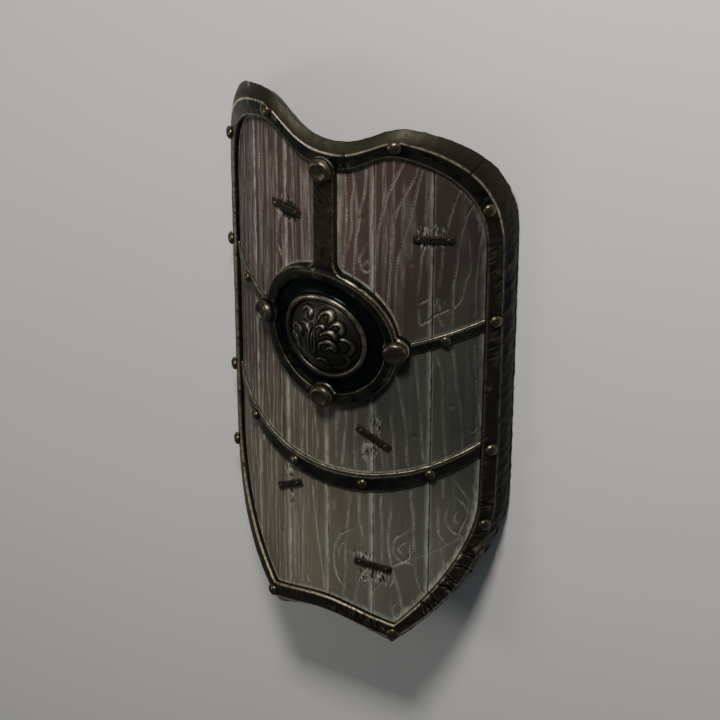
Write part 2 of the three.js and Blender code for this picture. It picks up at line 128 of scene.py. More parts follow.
lamps = {
    "lamp_head": ((0.55, 3.1, 2.0), (0.0, 0.1, 0.1), (0.8, 0.5), 125.0, (1.0, 0.96, 0.90)),
    "lamp_left": ((-1.9, 0.1, 2.0), (-0.05, -0.3, 0.1), (1.0, 1.0), 11.0, (1.0, 0.95, 0.86)),
}
for name, (spot, aim, size, power, colour) in lamps.items():
    light = bpy.data.lights.new(name, "AREA")
    light.shape = "RECTANGLE"
    light.size, light.size_y = size
    light.energy = power
    light.color = colour
    lamp = bpy.data.objects.new(name, light)
    bpy.context.scene.collection.objects.link(lamp)
    lamp.location = spot
    lamp.rotation_euler = (Vector(spot) - Vector(aim)).to_track_quat("Z", "Y").to_euler()

world = bpy.data.worlds.new("room")
world.use_nodes = True
world.node_tree.nodes["Background"].inputs["Color"].default_value = room_colour
world.node_tree.nodes["Background"].inputs["Strength"].default_value = room_strength
bpy.context.scene.world = world


# The boards. Six planks bowed over a former and sawn to one outline, whose edge sits in the rim. Their
# corners along the joints are chamfered. Weather has cut the soft grain into furrows and rubbed the
# hard grain pale, and two of them are cut out for the fist behind the boss.
bow_radius = 371.0
shield_height = 1174.0
rim_rise = 12.0
board_thickness = 12.0
lip_thickness = 6.0
half_width = 385.0
landing_cut = 5.0
peak = shield_height / 2
corner = -shield_height / 2
wood_front = -rim_rise
wood_back = wood_front - board_thickness
rim_back = wood_back - lip_thickness
lift = -landing_cut - ((bow_radius + rim_back) * math.cos(half_width / bow_radius) - bow_radius)

outer_spots = [(0, 541), (160, peak), (half_width, 337), (383, -242), (138, corner), (0, -536)]
inner_spots = [(0, 485), (140, 533), (313, 317), (309, -242), (143, -532), (0, -496)]
edge_handles = [
    ((0.48, -0.04), (0.67, 1)),
    ((0.43, 0.05), (1, 0.33)),
    ((0, 0.33), (0, 0.73)),
    ((0.02, 0.35), (0.59, 0.75)),
    ((0.26, 0.3), (0.65, 1)),
]
curve_lengths = (170, 352, 580, 432, 150)
station_step = 2.7


def bend(across, up, out):
    """A place of the flat pattern on the bowed shield, from millimetres to metres"""
    across, up, out = np.broadcast_arrays(across, up, out)
    angle = across / bow_radius
    radius = bow_radius + out
    return np.stack([radius * np.sin(angle), up, radius * np.cos(angle) - bow_radius + lift], -1) / 1000


def edge_line(spots):
    """The whole of one edge of the rim, from the dip clockwise and back to it"""
    half = []
    for curve, (first, second) in enumerate(edge_handles):
        start, end = np.array(spots[curve], float), np.array(spots[curve + 1], float)
        span = end - start
        t = np.linspace(0, 1, round(curve_lengths[curve] / station_step), endpoint=False)[:, None]
        ways = (start, start + np.array(first) * span, start + np.array(second) * span, end)
        shares = ((1 - t) ** 3, 3 * t * (1 - t) ** 2, 3 * t * t * (1 - t), t**3)
        half.append(sum(share * way for share, way in zip(shares, ways)))
    right = np.concatenate([*half, [spots[-1]]])
    return np.concatenate([right, right[-2:0:-1] * (-1, 1)])


rim_inner = edge_line(inner_spots)
rim_way = edge_line(outer_spots) - rim_inner
rim_width = np.hypot(rim_way[:, 0], rim_way[:, 1])


def on_rim(share, length):
    """Places round the rim, out from its inner edge by a share of the width and by a length"""
    reach = share + length / rim_width[:, None]
    return rim_inner[:, None] + rim_way[:, None] * reach[..., None]


def held(value, low=0, high=1):
    return np.clip(value, low, high)


def most(*fields):
    """The highest of several fields at each place"""
    highest = fields[0]
    for field in fields[1:]:
        highest = np.maximum(highest, field)
    return highest


def hump(value, middle, width):
    """1 in the middle, and smoothly down to 0 on both sides"""
    return np.exp(-(((value - middle) / width) ** 2))


def ripple(x, y, seed):
    """A smooth random field from -1 to 1, whose bumps are one unit across"""
    heights = np.random.default_rng(seed).uniform(-1, 1, (251, 241))
    column, row = np.floor(x).astype(int), np.floor(y).astype(int)
    u, v = x - column, y - row
    u, v = u * u * (3 - 2 * u), v * v * (3 - 2 * v)
    corners = [heights[(column + i) % 251, (row + j) % 241] for i in (0, 1) for j in (0, 1)]
    low = corners[0] * (1 - u) + corners[2] * u
    high = corners[1] * (1 - u) + corners[3] * u
    return low * (1 - v) + high * v


def make_piece(name, points, squares, outlines, material, slot, flat=None, **fields):
    """A mesh piece from its places, its square faces and its other outlines, with fields on the points
    that its faces use"""
    corners = np.concatenate([np.ravel(squares), *outlines]).astype(int)
    sizes = np.array([4] * len(squares) + [len(outline) for outline in outlines])
    used, corners = np.unique(corners, return_inverse=True)
    mesh = bpy.data.meshes.new(name)
    mesh.vertices.add(len(used))
    mesh.vertices.foreach_set("co", points.reshape(-1, 3)[used].astype(np.float32).ravel())
    mesh.loops.add(len(corners))
    mesh.loops.foreach_set("vertex_index", corners.astype(np.int32))
    mesh.polygons.add(len(sizes))
    mesh.polygons.foreach_set("loop_start", (np.cumsum(sizes) - sizes).astype(np.int32))
    mesh.update(calc_edges=True)
    if flat is not None:
        layer = mesh.uv_layers.new(name="flat")
        layer.uv.foreach_set("vector", flat[used].astype(np.float32)[corners].ravel())
    for field, values in fields.items():
        attribute = mesh.attributes.new(field, "FLOAT", "POINT")
        attribute.data.foreach_set("value", np.ravel(values)[used].astype(np.float32))
    mesh.materials.append(material)
    piece = bpy.data.objects.new(name, mesh)
    bpy.context.scene.collection.objects.link(piece)
    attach(piece, "root")
    return piece


def net_faces(rows):
    """Corners of the squares between rows of point numbers, each row as long as the next"""
    return np.stack([rows[:-1, :-1], rows[1:, :-1], rows[1:, 1:], rows[:-1, 1:]], -1).reshape(-1, 4)


def smooth_line(points, step=3.0):
    """A run of spots joined by a smooth curve, in short even steps"""
    points = np.array(points, float)
    if len(points) < 3:
        points = np.array([points[0], points.mean(0), points[-1]])
    padded = np.concatenate([[2 * points[0] - points[1]], points, [2 * points[-1] - points[-2]]])
    runs = []
    for before, start, end, after in zip(padded, padded[1:], padded[2:], padded[3:]):
        count = max(2, int(np.hypot(*(end - start)) / step))
        t = np.linspace(0, 1, count, endpoint=False)[:, None]
        bent = 2 * start + (end - before) * t + (2 * before - 5 * start + 4 * end - after) * t**2
        runs.append((bent + (3 * start - before - 3 * end + after) * t**3) / 2)
    return np.concatenate([*runs, [points[-1]]])


# Furrows of the grain, each by the spots it passes, across and up in turn
furrows = [
    [154, 523, 140, 486, 126, 454, 113, 403, 106, 368, 104, 340, 102, 300],
    [181, 516, 169, 477, 151, 443, 140, 411, 134, 380, 131, 340, 130, 297, 126, 219],
    [191, 513, 183, 483, 169, 414, 154, 357, 146, 323, 143, 297, 140, 254, 141, 194],
    [40, 486, 43, 397, 40, 340, 38, 297, 34, 268],
    [57, 491, 58, 454, 53, 414, 53, 369, 47, 334],
    [83, 503, 79, 446, 71, 414, 67, 374, 61, 334, 58, 268],
    [90, 411, 94, 369, 99, 326],
    [31, 357, 26, 311, 23, 283],
    [200, 454, 197, 414, 194, 397],
    [194, 343, 189, 323, 187, 297, 184, 254],
    [260, 466, 251, 440, 246, 420, 240, 397, 237, 377],
    [286, 429, 274, 406, 270, 389, 264, 371, 259, 340, 256, 297, 250, 254, 250, 178],
    [276, 369, 279, 340, 283, 311, 280, 283, 274, 266, 266, 228, 256, 212, 250, 206],
    [303, 369, 299, 334, 296, 297, 294, 254, 294, 187],
    [229, 334, 227, 297, 223, 266],
    [76, 323, 69, 303, 76, 281, 87, 281, 90, 295, 84, 303, 79, 296],
    [184, 212, 187, 175, 194, 178, 206, 184, 212, 192, 241, 206],
    [181, 217, 194, 225, 206, 233],
    [222, 195, 232, 168],
    [247, 128, 253, 103, 259, 47, 264, 16, 269, -16, 272, -62, 275, -103],
    [216, 119, 222, 100, 230, 72, 233, 31, 234, -16, 237, -78, 241, -122],
    [181, 103, 184, 47, 187, 12, 189, -16, 192, -47, 194, -94, 197, -134],
    [142, 72, 147, 37, 152, 6, 159, -31, 162, -62, 164, -103, 166, -147],
    [131, -31, 137, -72, 139, -109, 141, -153],
    [294, 125, 297, 50, 302, 0, 306, -37, 312, -72],
    [289, -66, 292, -76, 300, -74, 300, -64, 293, -62],
    [41, -22, 41, -62, 37, -109, 31, -169],
    [62, -16, 61, -62, 59, -125, 59, -169],
    [22, -31, 20, -90, 19, -156],
    [51, -236, 47, -264, 44, -299, 39, -370, 39, -413, 36, -456, 33, -487],
    [43, -326, 29, -336, 19, -356, 13, -384, 13, -413, 20, -444, 30, -459],
    [40, -356, 29, -361, 24, -373, 24, -399],
    [69, -227, 69, -284, 76, -327],
    [14, -256, 13, -284],
    [69, -427, 61, -470, 60, -496],
    [114, -221, 114, -256, 116, -313, 116, -381],
    [134, -244, 133, -270, 129, -313, 131, -353, 137, -393, 149, -441, 156, -479, 164, -510],
    [173, -204, 174, -233, 179, -267, 180, -313, 183, -370, 186, -413, 197, -447, 207, -464],
    [160, -310, 143, -324, 139, -347, 143, -364, 160, -379, 172, -366, 171, -340],
    [169, -330, 155, -337, 151, -351, 160, -361],
    [137, -394, 151, -384, 164, -380, 183, -383],
    [269, -229, 286, -253, 286, -276, 274, -304, 271, -316],
    [246, -250, 244, -273, 254, -301, 271, -316],
    [270, -256, 262, -267, 264, -284, 272, -286],
    [227, -246, 229, -270, 229, -299, 233, -313, 241, -326],
    [234, -341, 239, -364, 244, -396, 251, -410],
    [237, -170, 237, -227],
    [266, -193, 280, -216, 291, -239, 296, -270],
    [149, -479, 140, -493, 141, -513, 149, -521, 153, -510],
    [-127, 274, -119, 258, -113, 246],
    [-47, -463, -53, -474, -50, -484, -43, -480],
]

# Furrows of the plainer left half: across at the head and at the foot, and the two heights
straight_furrows = [
    (-215, -214, 480, 196), (-232, -240, 455, 150), (-258, -262, 430, 120), (-281, -284, 400, 130),
    (-189, -183, 515, 215), (-171, -181, 520, 196), (-153, -161, 525, 180), (-124, -133, 522, 160),
    (-110, -113, 330, 130), (-84, -80, 512, 250), (-60, -55, 505, 262), (-40, -41, 495, 258),
    (-300, -303, 330, 105), (-290, -288, 60, -180), (-268, -262, 90, -150), (-243, -240, 110, -160),
    (-222, -225, 80, -150), (-190, -192, 80, -165), (-168, -166, 60, -170), (-147, -150, 20, -180),
    (-122, -120, -10, -185), (-84, -80, -20, -180), (-58, -62, -30, -182), (-30, -26, -35, -186),
    (-262, -236, -170, -410), (-232, -222, -180, -330), (-196, -196, -200, -300),
    (-167, -176, -230, -427), (-144, -146, -215, -470), (-116, -114, -299, -504),
    (-84, -86, -330, -490), (-64, -69, -235, -499), (-39, -13, -240, -490), (101, 118, 20, -160),
    (84, 88, -60, -178), (112, 116, 28, 0),
]
scratch = [131, -396, 219, -352, 306, -307]
dents = [(171, 306), (74, 391), (-241, 307), (180, -80), (252, -12), (-127, -401)]
dent_width = 5.5
dent_depth = 1.7

# Places where the wood is torn beside a cleat: across, up, and how far the tear reaches each way
tears = [
    (-98, 378, 20, 17), (-118, 335, 9, 24), (-94, 344, 24, 10), (208, 377, 32, 13), (204, 345, 30, 10),
    (212, 368, 34, 8), (221, 216, 13, 22), (98, -58, 18, 22), (92, -122, 20, 26), (-104, -236, 15, 22),
    (-97, -300, 13, 22), (76, -378, 26, 12), (98, -428, 40, 24), (-189, -200, 5, 16),
]
hole_spot = (-92, 358)
hole_reach = (27, 21)
hole_depth = 2.2
lifted_grain = 1.9
furrow_depth = 1.9
furrow_half = 1.9
furrow_run_out = 20.0
bead_step = 7.5
worn_band = 9.0
widest_joint = 211
board_joints = (-206, -99, 0, 98, widest_joint)
board_seat = 22.0
board_stains = (0.42, 0.30, 0.62, 0.55, 0.36, 0.48)
fit_gap = 0.4
grip_level = 122.0
hand_hole = 70.0
column_step = 1.15
row_step = 2.4

# Where the iron lies on the boards
ring_outer = 150.0
upright_half = 24.0
strap_start = 170.9
strap_end = 312.0
strap_climb = 43.0
strap_width = 24.0
band_end = 310.0
band_drop = 116.0
band_sag = 87.0
band_width = 43.0
band_end_width = 32.0


def strap_line(across):
    return grip_level + strap_climb * (abs(across) - strap_start) / (strap_end - strap_start)


def band_share(across):
    return 1 - (across / band_end) ** 2


def band_line(across):
    return -band_drop - band_sag * band_share(across)


def band_wide(across):
    return band_end_width + (band_width - band_end_width) * band_share(across)


def iron_wear_and_highlight(across, up):
    """How pale the wood is beside the ring, the upright strap, the straps and the band: partly wear, partly
    a painted highlight that is strongest on the side towards the light
    """
    turn = np.arctan2(up - grip_level, across)
    ring = np.hypot(across, up - grip_level) - ring_outer
    around_ring = held(1.3 - ring / 4.5) * (0.50 + 0.45 * np.cos(turn - 0.6)) * (ring > -4)
    beside = abs(across) - upright_half
    by_upright = held(1.2 - beside / 13) * (beside > -4) * (up > 250) * np.where(across > 0, 0.62, 0.4)
    over_strap = up - strap_line(across) - strap_width / 2
    by_strap = held(1.3 - over_strap / 3.5) * (over_strap > -4) * (abs(across) > strap_start) * 0.7
    over_band = up - band_line(across) - band_wide(across) / 2
    by_band = held(1.3 - over_band / 4) * (over_band > -4) * 0.8
    return most(around_ring, by_upright, by_strap, by_band)


def furrow_lines():
    """The spots of every furrow, and how strong it is"""
    lines = [(np.reshape(line, (-1, 2)), 1.0) for line in furrows] + [(np.reshape(scratch, (-1, 2)), 0.35)]
    for number, (head, foot, high, low) in enumerate(straight_furrows):
        way = np.linspace(0, 1, 7)
        sway = 3.2 * ripple(way * 3.1 + 9.7 * number, way * 0 + number, 3)
        lines.append((np.stack([head + (foot - head) * way + sway, high + (low - high) * way], -1), 0.75))
    return lines


def furrowed(across, up):
    """The furrows at each place, from 0 to 1: how deep, how pale their worn sides and painted highlight are,
    and how dark their painted shade line is
    """
    cut, lips, dark = np.zeros(across.shape), np.zeros(across.shape), np.zeros(across.shape)
    for line, strength in furrow_lines():
        line = smooth_line(line)
        if len(line) > 20:
            ends = line[[0, -1]] - line[[2, -3]]
            ends *= furrow_run_out / np.hypot(ends[:, 0], ends[:, 1])[:, None]
            line = np.concatenate([[line[0] + ends[0]], line, [line[-1] + ends[1]]])
        low, high = line.min(0) - 11, line.max(0) + 11
        near = (across > low[0]) & (across < high[0]) & (up > low[1]) & (up < high[1])
        if not near.any():
            continue
        x, y = across[near], up[near]
        start, step = line[:-1], np.diff(line, axis=0)
        off_x, off_y = x[:, None] - start[:, 0], y[:, None] - start[:, 1]
        along = held((off_x * step[:, 0] + off_y * step[:, 1]) / (step**2).sum(1))
        gap = np.hypot(off_x - along * step[:, 0], off_y - along * step[:, 1])
        nearest = gap.argmin(1)
        spot = (np.arange(len(nearest)), nearest)
        side = -np.sign(off_x[spot] * step[nearest, 1] - off_y[spot] * step[nearest, 0])
        place = (nearest + along[spot]) / len(step)
        length = np.hypot(step[:, 0], step[:, 1]).sum()
        taper = held(np.minimum(place, 1 - place) * length / 14) ** 0.6 * strength
        gap = np.maximum(gap[spot] + 0.5 * ripple(x / 3, y / 7, 8), 0)
        cut[near] = most(cut[near], taper * np.exp(-((gap / furrow_half) ** 4)))
        beads = place * length / bead_step + 0.25 * ripple(x / 9, y / 9, 13)
        beads = 0.5 + 0.5 * np.cos(2 * math.pi * beads)
        # Painted highlight: the worn edge is paler on one side of the furrow, as if lit from there
        rim_line = hump(gap, furrow_half, 0.8) * np.where(side > 0, 0.55, 1.0)
        pale = most(rim_line * (0.45 + 0.65 * beads), 0.5 * (gap < furrow_half) * (0.4 + 0.6 * beads))
        lips[near] = most(lips[near], taper * pale)
        # Painted shade: a dark dotted line along one wall inside the furrow
        dots = hump(side * gap, 0.5, 1.1) * held(1.5 - 2.2 * beads, 0.1)
        dark[near] = most(dark[near], taper * dots)
    return cut, lips, dark * held(ripple(across / 4, up / 9, 4) * 1.6 + 0.65, 0.15)


rim_tree = kdtree.KDTree(len(rim_inner))
for number, spot in enumerate(rim_inner):
    rim_tree.insert((*spot, 0), number)
rim_tree.balance()


def weather(across, up, left, right):
    """The weathered face of a board: how far it stands out, and its fields for the finish"""
    cut, lips, dark = furrowed(across, up)
    ragged = ripple(across / 4.5, up / 17, 5)
    torn = np.zeros(across.shape)
    for middle, height, reach, rise in tears:
        away = ((across - middle) / reach) ** 2 + ((up - height) / rise) ** 2
        torn = most(torn, held(1.5 * (1 - away + 0.9 * ragged)))
    splinter = 0.75 * ripple(across / 2.2, up / 8, 6) + 0.6 * ripple((across + 0.5 * up) / 2.2, up / 5, 18)
    raised = -furrow_depth * cut + 0.3 * lips * (1 - cut) + torn * (lifted_grain * splinter - 0.4)
    raised = raised + 0.35 * ripple(across / 60, up / 120, 12) - 0.35
    for middle, height in dents:
        away = (across - middle) ** 2 + (up - height) ** 2
        raised -= dent_depth * np.exp(-((away / dent_width**2) ** 1.5))
    seam = np.minimum(across - left, right - across)
    raised -= held(2.5 * (0.7 + 0.5 * ripple(across / 5, up / 11, 7)) - seam, 0, 3)

    band = held(1.25 - (right - across) / worn_band) * np.where(right < 300, 0.85, 0)
    band = most(band, 0.7 * held(1 - (across - left) / 4))
    edge = [rim_tree.find((x, y, 0))[2] for x, y in zip(across.ravel(), up.ravel())]
    edge = np.reshape(edge, across.shape)
    halo = held(1.35 - edge / held(6.5 + across / 60, 4, 9) + 0.35 * ripple(across / 4, up / 9, 9))
    halo = halo * held(0.45 + abs(across) / 520 - up / 2400, 0.5)
    streaks = held(ripple(across / 9, up / 190, 16) * 1.5 - 0.35, 0, 0.42)
    streaks = streaks * (0.6 + 0.5 * ripple(across / 2.4, up / 34, 17)) * held(0.45 + (up - 150) / 500, 0.35)
    fine_grain = ripple(across / 3.1, up / 140, 19) * held(0.55 - across / 200, 0.3)
    streaks = most(streaks, held(1.5 * fine_grain - 0.5, 0, 0.34))
    splintered = torn * held(0.35 + 2.0 * splinter)
    # Pale wear and painted highlight together: worn furrow edges, grain and splinters, the worn band by the
    # joints, and pale halos along the rim and the iron
    rubbed = most(lips, splintered, band, halo, iron_wear_and_highlight(across, up), streaks)
    raised += 0.25 * splinter * np.maximum(rubbed - 0.3, 0)

    # Dark marks and painted shade: the furrows' dark lines are painted shade, and torn grain, fine grain
    # lines, the torn hole and the open joints are darkened too
    carved = most(1.1 * dark, torn * held(-2.4 * splinter - 0.1), held(-2.0 * fine_grain - 0.75, 0, 0.55))
    hole = ((across - hole_spot[0]) / hole_reach[0]) ** 2 + ((up - hole_spot[1]) / hole_reach[1]) ** 2
    hole = held(1.6 * (1 - hole + 0.9 * ragged + 0.4 * splinter))
    raised -= hole_depth * hole
    open_seam = held(0.45 + 0.7 * ripple(across * 0 + right, up / 45, 11))
    if min(abs(right - widest_joint), abs(left - widest_joint)) < 1:
        open_seam = 1.0
    carved = most(carved, hole, open_seam * held(1.15 - seam / 1.4))
    patchy = 0.72 + 0.38 * ripple(across / 6, up / 26, 10)
    return held(raised, -5, 0.9), held(rubbed * (1 - hole) * patchy), carved


def tones(across, up):
    """Where the oak is mauve, where it has gone green, where painted shade darkens it, and where the foot is
    painted lighter
    """
    drift = 45 * ripple(across / 55, up / 120, 14) + 25 * ripple(across / 17, up / 60, 15)
    mauve = held((up - 55 - 0.62 * across + drift) / 150 + 0.5)
    green = held((across + 40 + drift) / 170)
    # Painted shade: darker towards the right and in a patch where the boss's shadow falls, less so at the
    # foot
    right = held((across - 60 + drift) / 230) * held((up + 330) / 260)
    boss_shadow = hump(across, 95, 120) * hump(up, -10, 120)
    # Painted light: the foot of the shield is lightened as if more light fell there
    foot = held((-up - 180 + drift) / 160)
    painted_shade = held(0.66 * right + 0.46 * boss_shadow, 0, 0.8) * (1 - 0.7 * foot)
    return {"mauve": mauve, "green": green, "painted_shade": painted_shade, "foot": foot}


def maths(tree, operation, first, second=0.0):
    return add_node(tree, "ShaderNodeMath", {0: first, 1: second}, operation=operation).outputs[0]


def spread(tree, value, low, high, to_low=0.0, to_high=1.0):
    """A value's range stretched to another one, and held inside it"""
    stretched = {"Value": value, "From Min": low, "From Max": high, "To Min": to_low, "To Max": to_high}
    return add_node(tree, "ShaderNodeMapRange", stretched).outputs["Result"]


def field_of(tree, name):
    """A field that the mesh carries on its points"""
    return add_node(tree, "ShaderNodeAttribute", attribute_name=name).outputs["Fac"]


def bumped(tree, shader, height, depth, strength):
    """Fine relief under the shader, with its depth in metres"""
    bump = add_node(tree, "ShaderNodeBump", {"Height": height, "Distance": depth, "Strength": strength})
    tree.links.new(bump.outputs["Normal"], shader.inputs["Normal"])


def weathered_wood():
    """Oak gone grey: mauve at the head, tan or green at the foot, pale where the grain is worn and where
    highlights are painted, and dark in marks and painted shade
    """
    material, tree, shader, _ = finish_of("weathered_wood", 0.0, 0.35)
    flat = add_node(tree, "ShaderNodeUVMap", uv_map="flat").outputs["UV"]
    names = ("rubbed", "carved", "stain", "mauve", "green", "painted_shade", "foot")
    rubbed, carved, stain, mauve, green, painted_shade, foot = (field_of(tree, name) for name in names)
    stretched = add_node(tree, "ShaderNodeMapping", {"Vector": flat, "Scale": (420, 16, 1)}).outputs[0]
    broad = add_node(tree, "ShaderNodeMapping", {"Vector": flat, "Scale": (34, 5, 1)}).outputs[0]
    fibres = mottle(tree, stretched, 1.0, 5.0, 0.6)
    tan = blend(tree, stain, (0.098, 0.083, 0.062), (0.156, 0.133, 0.101))
    grey = blend(tree, stain, (0.078, 0.080, 0.064), (0.126, 0.130, 0.106))
    head_tone = blend(tree, stain, (0.054, 0.031, 0.027), (0.086, 0.053, 0.047))
    tone = blend(tree, mauve, blend(tree, green, tan, grey), head_tone)
    tone = blend(tree, spread(tree, fibres, 0.3, 0.7, 0.0, 0.34), tone, (0.030, 0.024, 0.022))
    # Painted light: an overlay lightens the wood at the foot
    tone = blend(tree, maths(tree, "MULTIPLY", foot, 0.5), tone, (0.9, 0.9, 0.9), "OVERLAY")
    # Painted shade: the right side and the boss's shadow are darkened
    tone = blend(tree, painted_shade, tone, (0.018, 0.018, 0.016))
    # Pale where the grain is worn and where highlights are painted
    pale = blend(tree, mauve, (0.46, 0.48, 0.42), (0.44, 0.43, 0.38))
    flecks = spread(tree, mottle(tree, stretched, 2.3, 3.0), 0.32, 0.50)
    flecks = maths(tree, "MULTIPLY", flecks, maths(tree, "SUBTRACT", 1.0, painted_shade))
    tone = blend(tree, maths(tree, "MULTIPLY", rubbed, flecks), tone, pale)
    # Near black in marks and in painted shade
    tone = blend(tree, spread(tree, carved, 0.3, 0.8, 0.0, 0.9), tone, (0.016, 0.015, 0.014))
    tree.links.new(tone, shader.inputs["Base Color"])
    rough = spread(tree, mottle(tree, broad, 1.0, 3.0), 0.3, 0.7, 0.60, 0.76)
    tree.links.new(rough, shader.inputs["Roughness"])
    bumped(tree, shader, fibres, 0.0005, 0.6)
    return material


def without_repeats(outline):
    return [corner for k, corner in enumerate(outline) if corner != outline[k - 1]]


def board_faces(count, deep, split, shut):
    """A board's squares and other outlines. Its front and its back are parted at the hand hole, and
    joined in the columns where the hole is shut"""
    front = np.arange(count * deep).reshape(count, deep)
    back = count * deep + np.arange(4 * count).reshape(count, 4)
    front[shut, split] = front[shut, split - 1]
    back[shut, 2] = back[shut, 1]
    squares = [net_faces(front[:, :split]), net_faces(front[:, split:])]
    squares += [net_faces(back[:, :2])[:, ::-1], net_faces(back[:, 2:])[:, ::-1]]
    hole_there = ~(shut[:-1] & shut[1:])
    for edge, under in ((0, 0), (split - 1, 1), (split, 2), (-1, 3)):
        wall = net_faces(np.stack([front[:, edge], back[:, under]], 1))
        if under in (1, 2):
            wall = wall[hole_there]
        squares.append(wall[:, ::-1] if under in (0, 2) else wall)
    squares = np.concatenate(squares)
    folded = (squares == np.roll(squares, 1, 1)).any(1)
    outlines = [without_repeats(face) for face in squares[folded]]
    for side in (0, -1):
        runs = [(slice(0, split), slice(0, 2)), (slice(split, deep), slice(2, 4))]
        if shut[side]:
            runs = [(slice(0, deep), slice(0, 4))]
        for run, under in runs:
            outline = without_repeats([*front[side, run], *back[side, under][::-1]])
            outlines.append(outline[::-1] if side else outline)
    return squares[~folded], outlines


wood = weathered_wood()
seat_line = on_rim(0, board_seat)[:, 0]
right_half = seat_line[: len(seat_line) // 2 + 1]
widest = right_half[:, 0].argmax()
head_line = right_half[: widest + 1]
foot_line = right_half[widest:][::-1]
board_reach = right_half[widest, 0] - 0.5
joints = (-board_reach, *board_joints, board_reach)

for number in range(6):
    left = joints[number] + (fit_gap / 2 if number else 0)
    right = joints[number + 1] - (fit_gap / 2 if number < 5 else 0)
    columns = np.linspace(left, right, round((right - left) / column_step) + 1)
    close = [side * hand_hole * share for side in (-1, 1) for share in (0.97, 0.985, 0.996, 1)]
    close = [across for across in close if left < across < right]
    columns = np.unique(np.concatenate([columns, [left, right], close]))
    top = np.interp(abs(columns), np.maximum.accumulate(head_line[:, 0]), head_line[:, 1])
    bottom = np.interp(abs(columns), np.maximum.accumulate(foot_line[:, 0]), foot_line[:, 1])
    gap = np.sqrt(np.maximum(hand_hole**2 - columns**2, 0))
    rows_low = np.linspace(0, 1, round(600 / row_step))
    rows_high = np.linspace(0, 1, round(400 / row_step))
    low = bottom[:, None] + (grip_level - gap - bottom)[:, None] * rows_low
    high = (grip_level + gap)[:, None] + (top - grip_level - gap)[:, None] * rows_high
    up = np.concatenate([low, high], 1)
    across = np.repeat(columns[:, None], up.shape[1], 1)
    raised, rubbed, carved = weather(across, up, left, right)
    back_up = np.stack([bottom, grip_level - gap, grip_level + gap, top], 1)
    back_across = np.repeat(columns[:, None], 4, 1)
    plain = np.zeros(back_up.size)
    flat_x = np.concatenate([across.ravel(), back_across.ravel()])
    flat_y = np.concatenate([up.ravel(), back_up.ravel()])
    out = np.concatenate([(wood_front + raised).ravel(), plain + wood_back])
    squares, outlines = board_faces(*up.shape, len(rows_low), gap == 0)
    board = make_piece(
        f"weathered_board_{number + 1}",
        bend(flat_x, flat_y, out),
        squares,
        outlines,
        wood,
        "boards",
        np.stack([flat_x, flat_y], 1) / 1000,
        rubbed=np.concatenate([rubbed.ravel(), plain]),
        carved=np.concatenate([carved.ravel(), plain]),
        stain=board_stains[number] + 0.35 * ripple(flat_x / 45, flat_y / 210, 20 + number),
        **tones(flat_x, flat_y),
    )
    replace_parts(board, f"board_{number + 1}")


# The rim. One forged iron channel wrapped round the edge of the boards: a flat face in front, a hammered
# slope to the outer edge and a narrow lip behind. Its crests are rubbed bright and carry a painted
# highlight, strongest at the head, the foot and the left; its right side is painted in shade, and it is
# cut level where it lies on the ground.
face_width = 32.0
inner_bevel = 3.0
edge_drop = 16.0
edge_crown = 2.7
lip_inset = 8.0
seat_gap = 0.6
crease_round = 0.9
patch_size = 25.0
patch_depth = 2.1
head_undercut = 12.0
undercut_from = 400.0
undercut_full = 500.0

# Marks of use: cracks and notches, each by its spots, its half width and its depth
rim_marks = [
    ([(41, 528), (43, 521), (47, 515), (52, 512)], 1.3, 1.0),
    ([(192, 541), (199, 539)], 3.6, 1.4),
    ([(207, 535), (214, 530)], 3.4, 1.4),
    ([(224, 522), (231, 517)], 2.8, 1.2),
    ([(300, 515), (281, 503), (265, 490)], 2.2, 1.8),
    ([(-197, 556), (-183, 541)], 1.2, 0.8),
    ([(-186, 560), (-172, 545)], 1.2, 0.8),
    ([(-172, 563), (-164, 548)], 1.0, 0.7),
    ([(336, 395), (318, 392)], 1.4, 0.9),
    ([(352, 180), (330, 186)], 1.6, 1.0),
    ([(350, -60), (322, -52)], 1.5, 1.0),
    ([(276, -352), (296, -366), (318, -372)], 2.6, 1.6),
    ([(264, -384), (284, -392), (302, -412)], 3.2, 1.8),
    ([(246, -406), (262, -424), (280, -432)], 2.4, 1.6),
    ([(232, -428), (250, -436), (262, -456)], 3.4, 1.8),
    ([(214, -448), (226, -468), (244, -476)], 2.2, 1.4),
    ([(196, -472), (212, -480), (222, -500)], 2.8, 1.6),
]


def hammered(x, y, seed):
    """Overlapping hammer dishes a unit apart: 1 in the middle of a dish and 0 at its edge"""
    rng = np.random.default_rng(seed)
    jitter = rng.uniform(0.1, 0.9, (127, 113, 2))
    size = rng.uniform(0.62, 1.05, (127, 113))
    column, row = np.floor(x).astype(int), np.floor(y).astype(int)
    deepest = np.zeros(x.shape)
    for i in (-1, 0, 1):
        for j in (-1, 0, 1):
            spot = jitter[(column + i) % 127, (row + j) % 113]
            reach = size[(column + i) % 127, (row + j) % 113]
            away = (x - column - i - spot[..., 0]) ** 2 + (y - row - j - spot[..., 1]) ** 2
            deepest = most(deepest, 1 - away / reach**2)
    return deepest


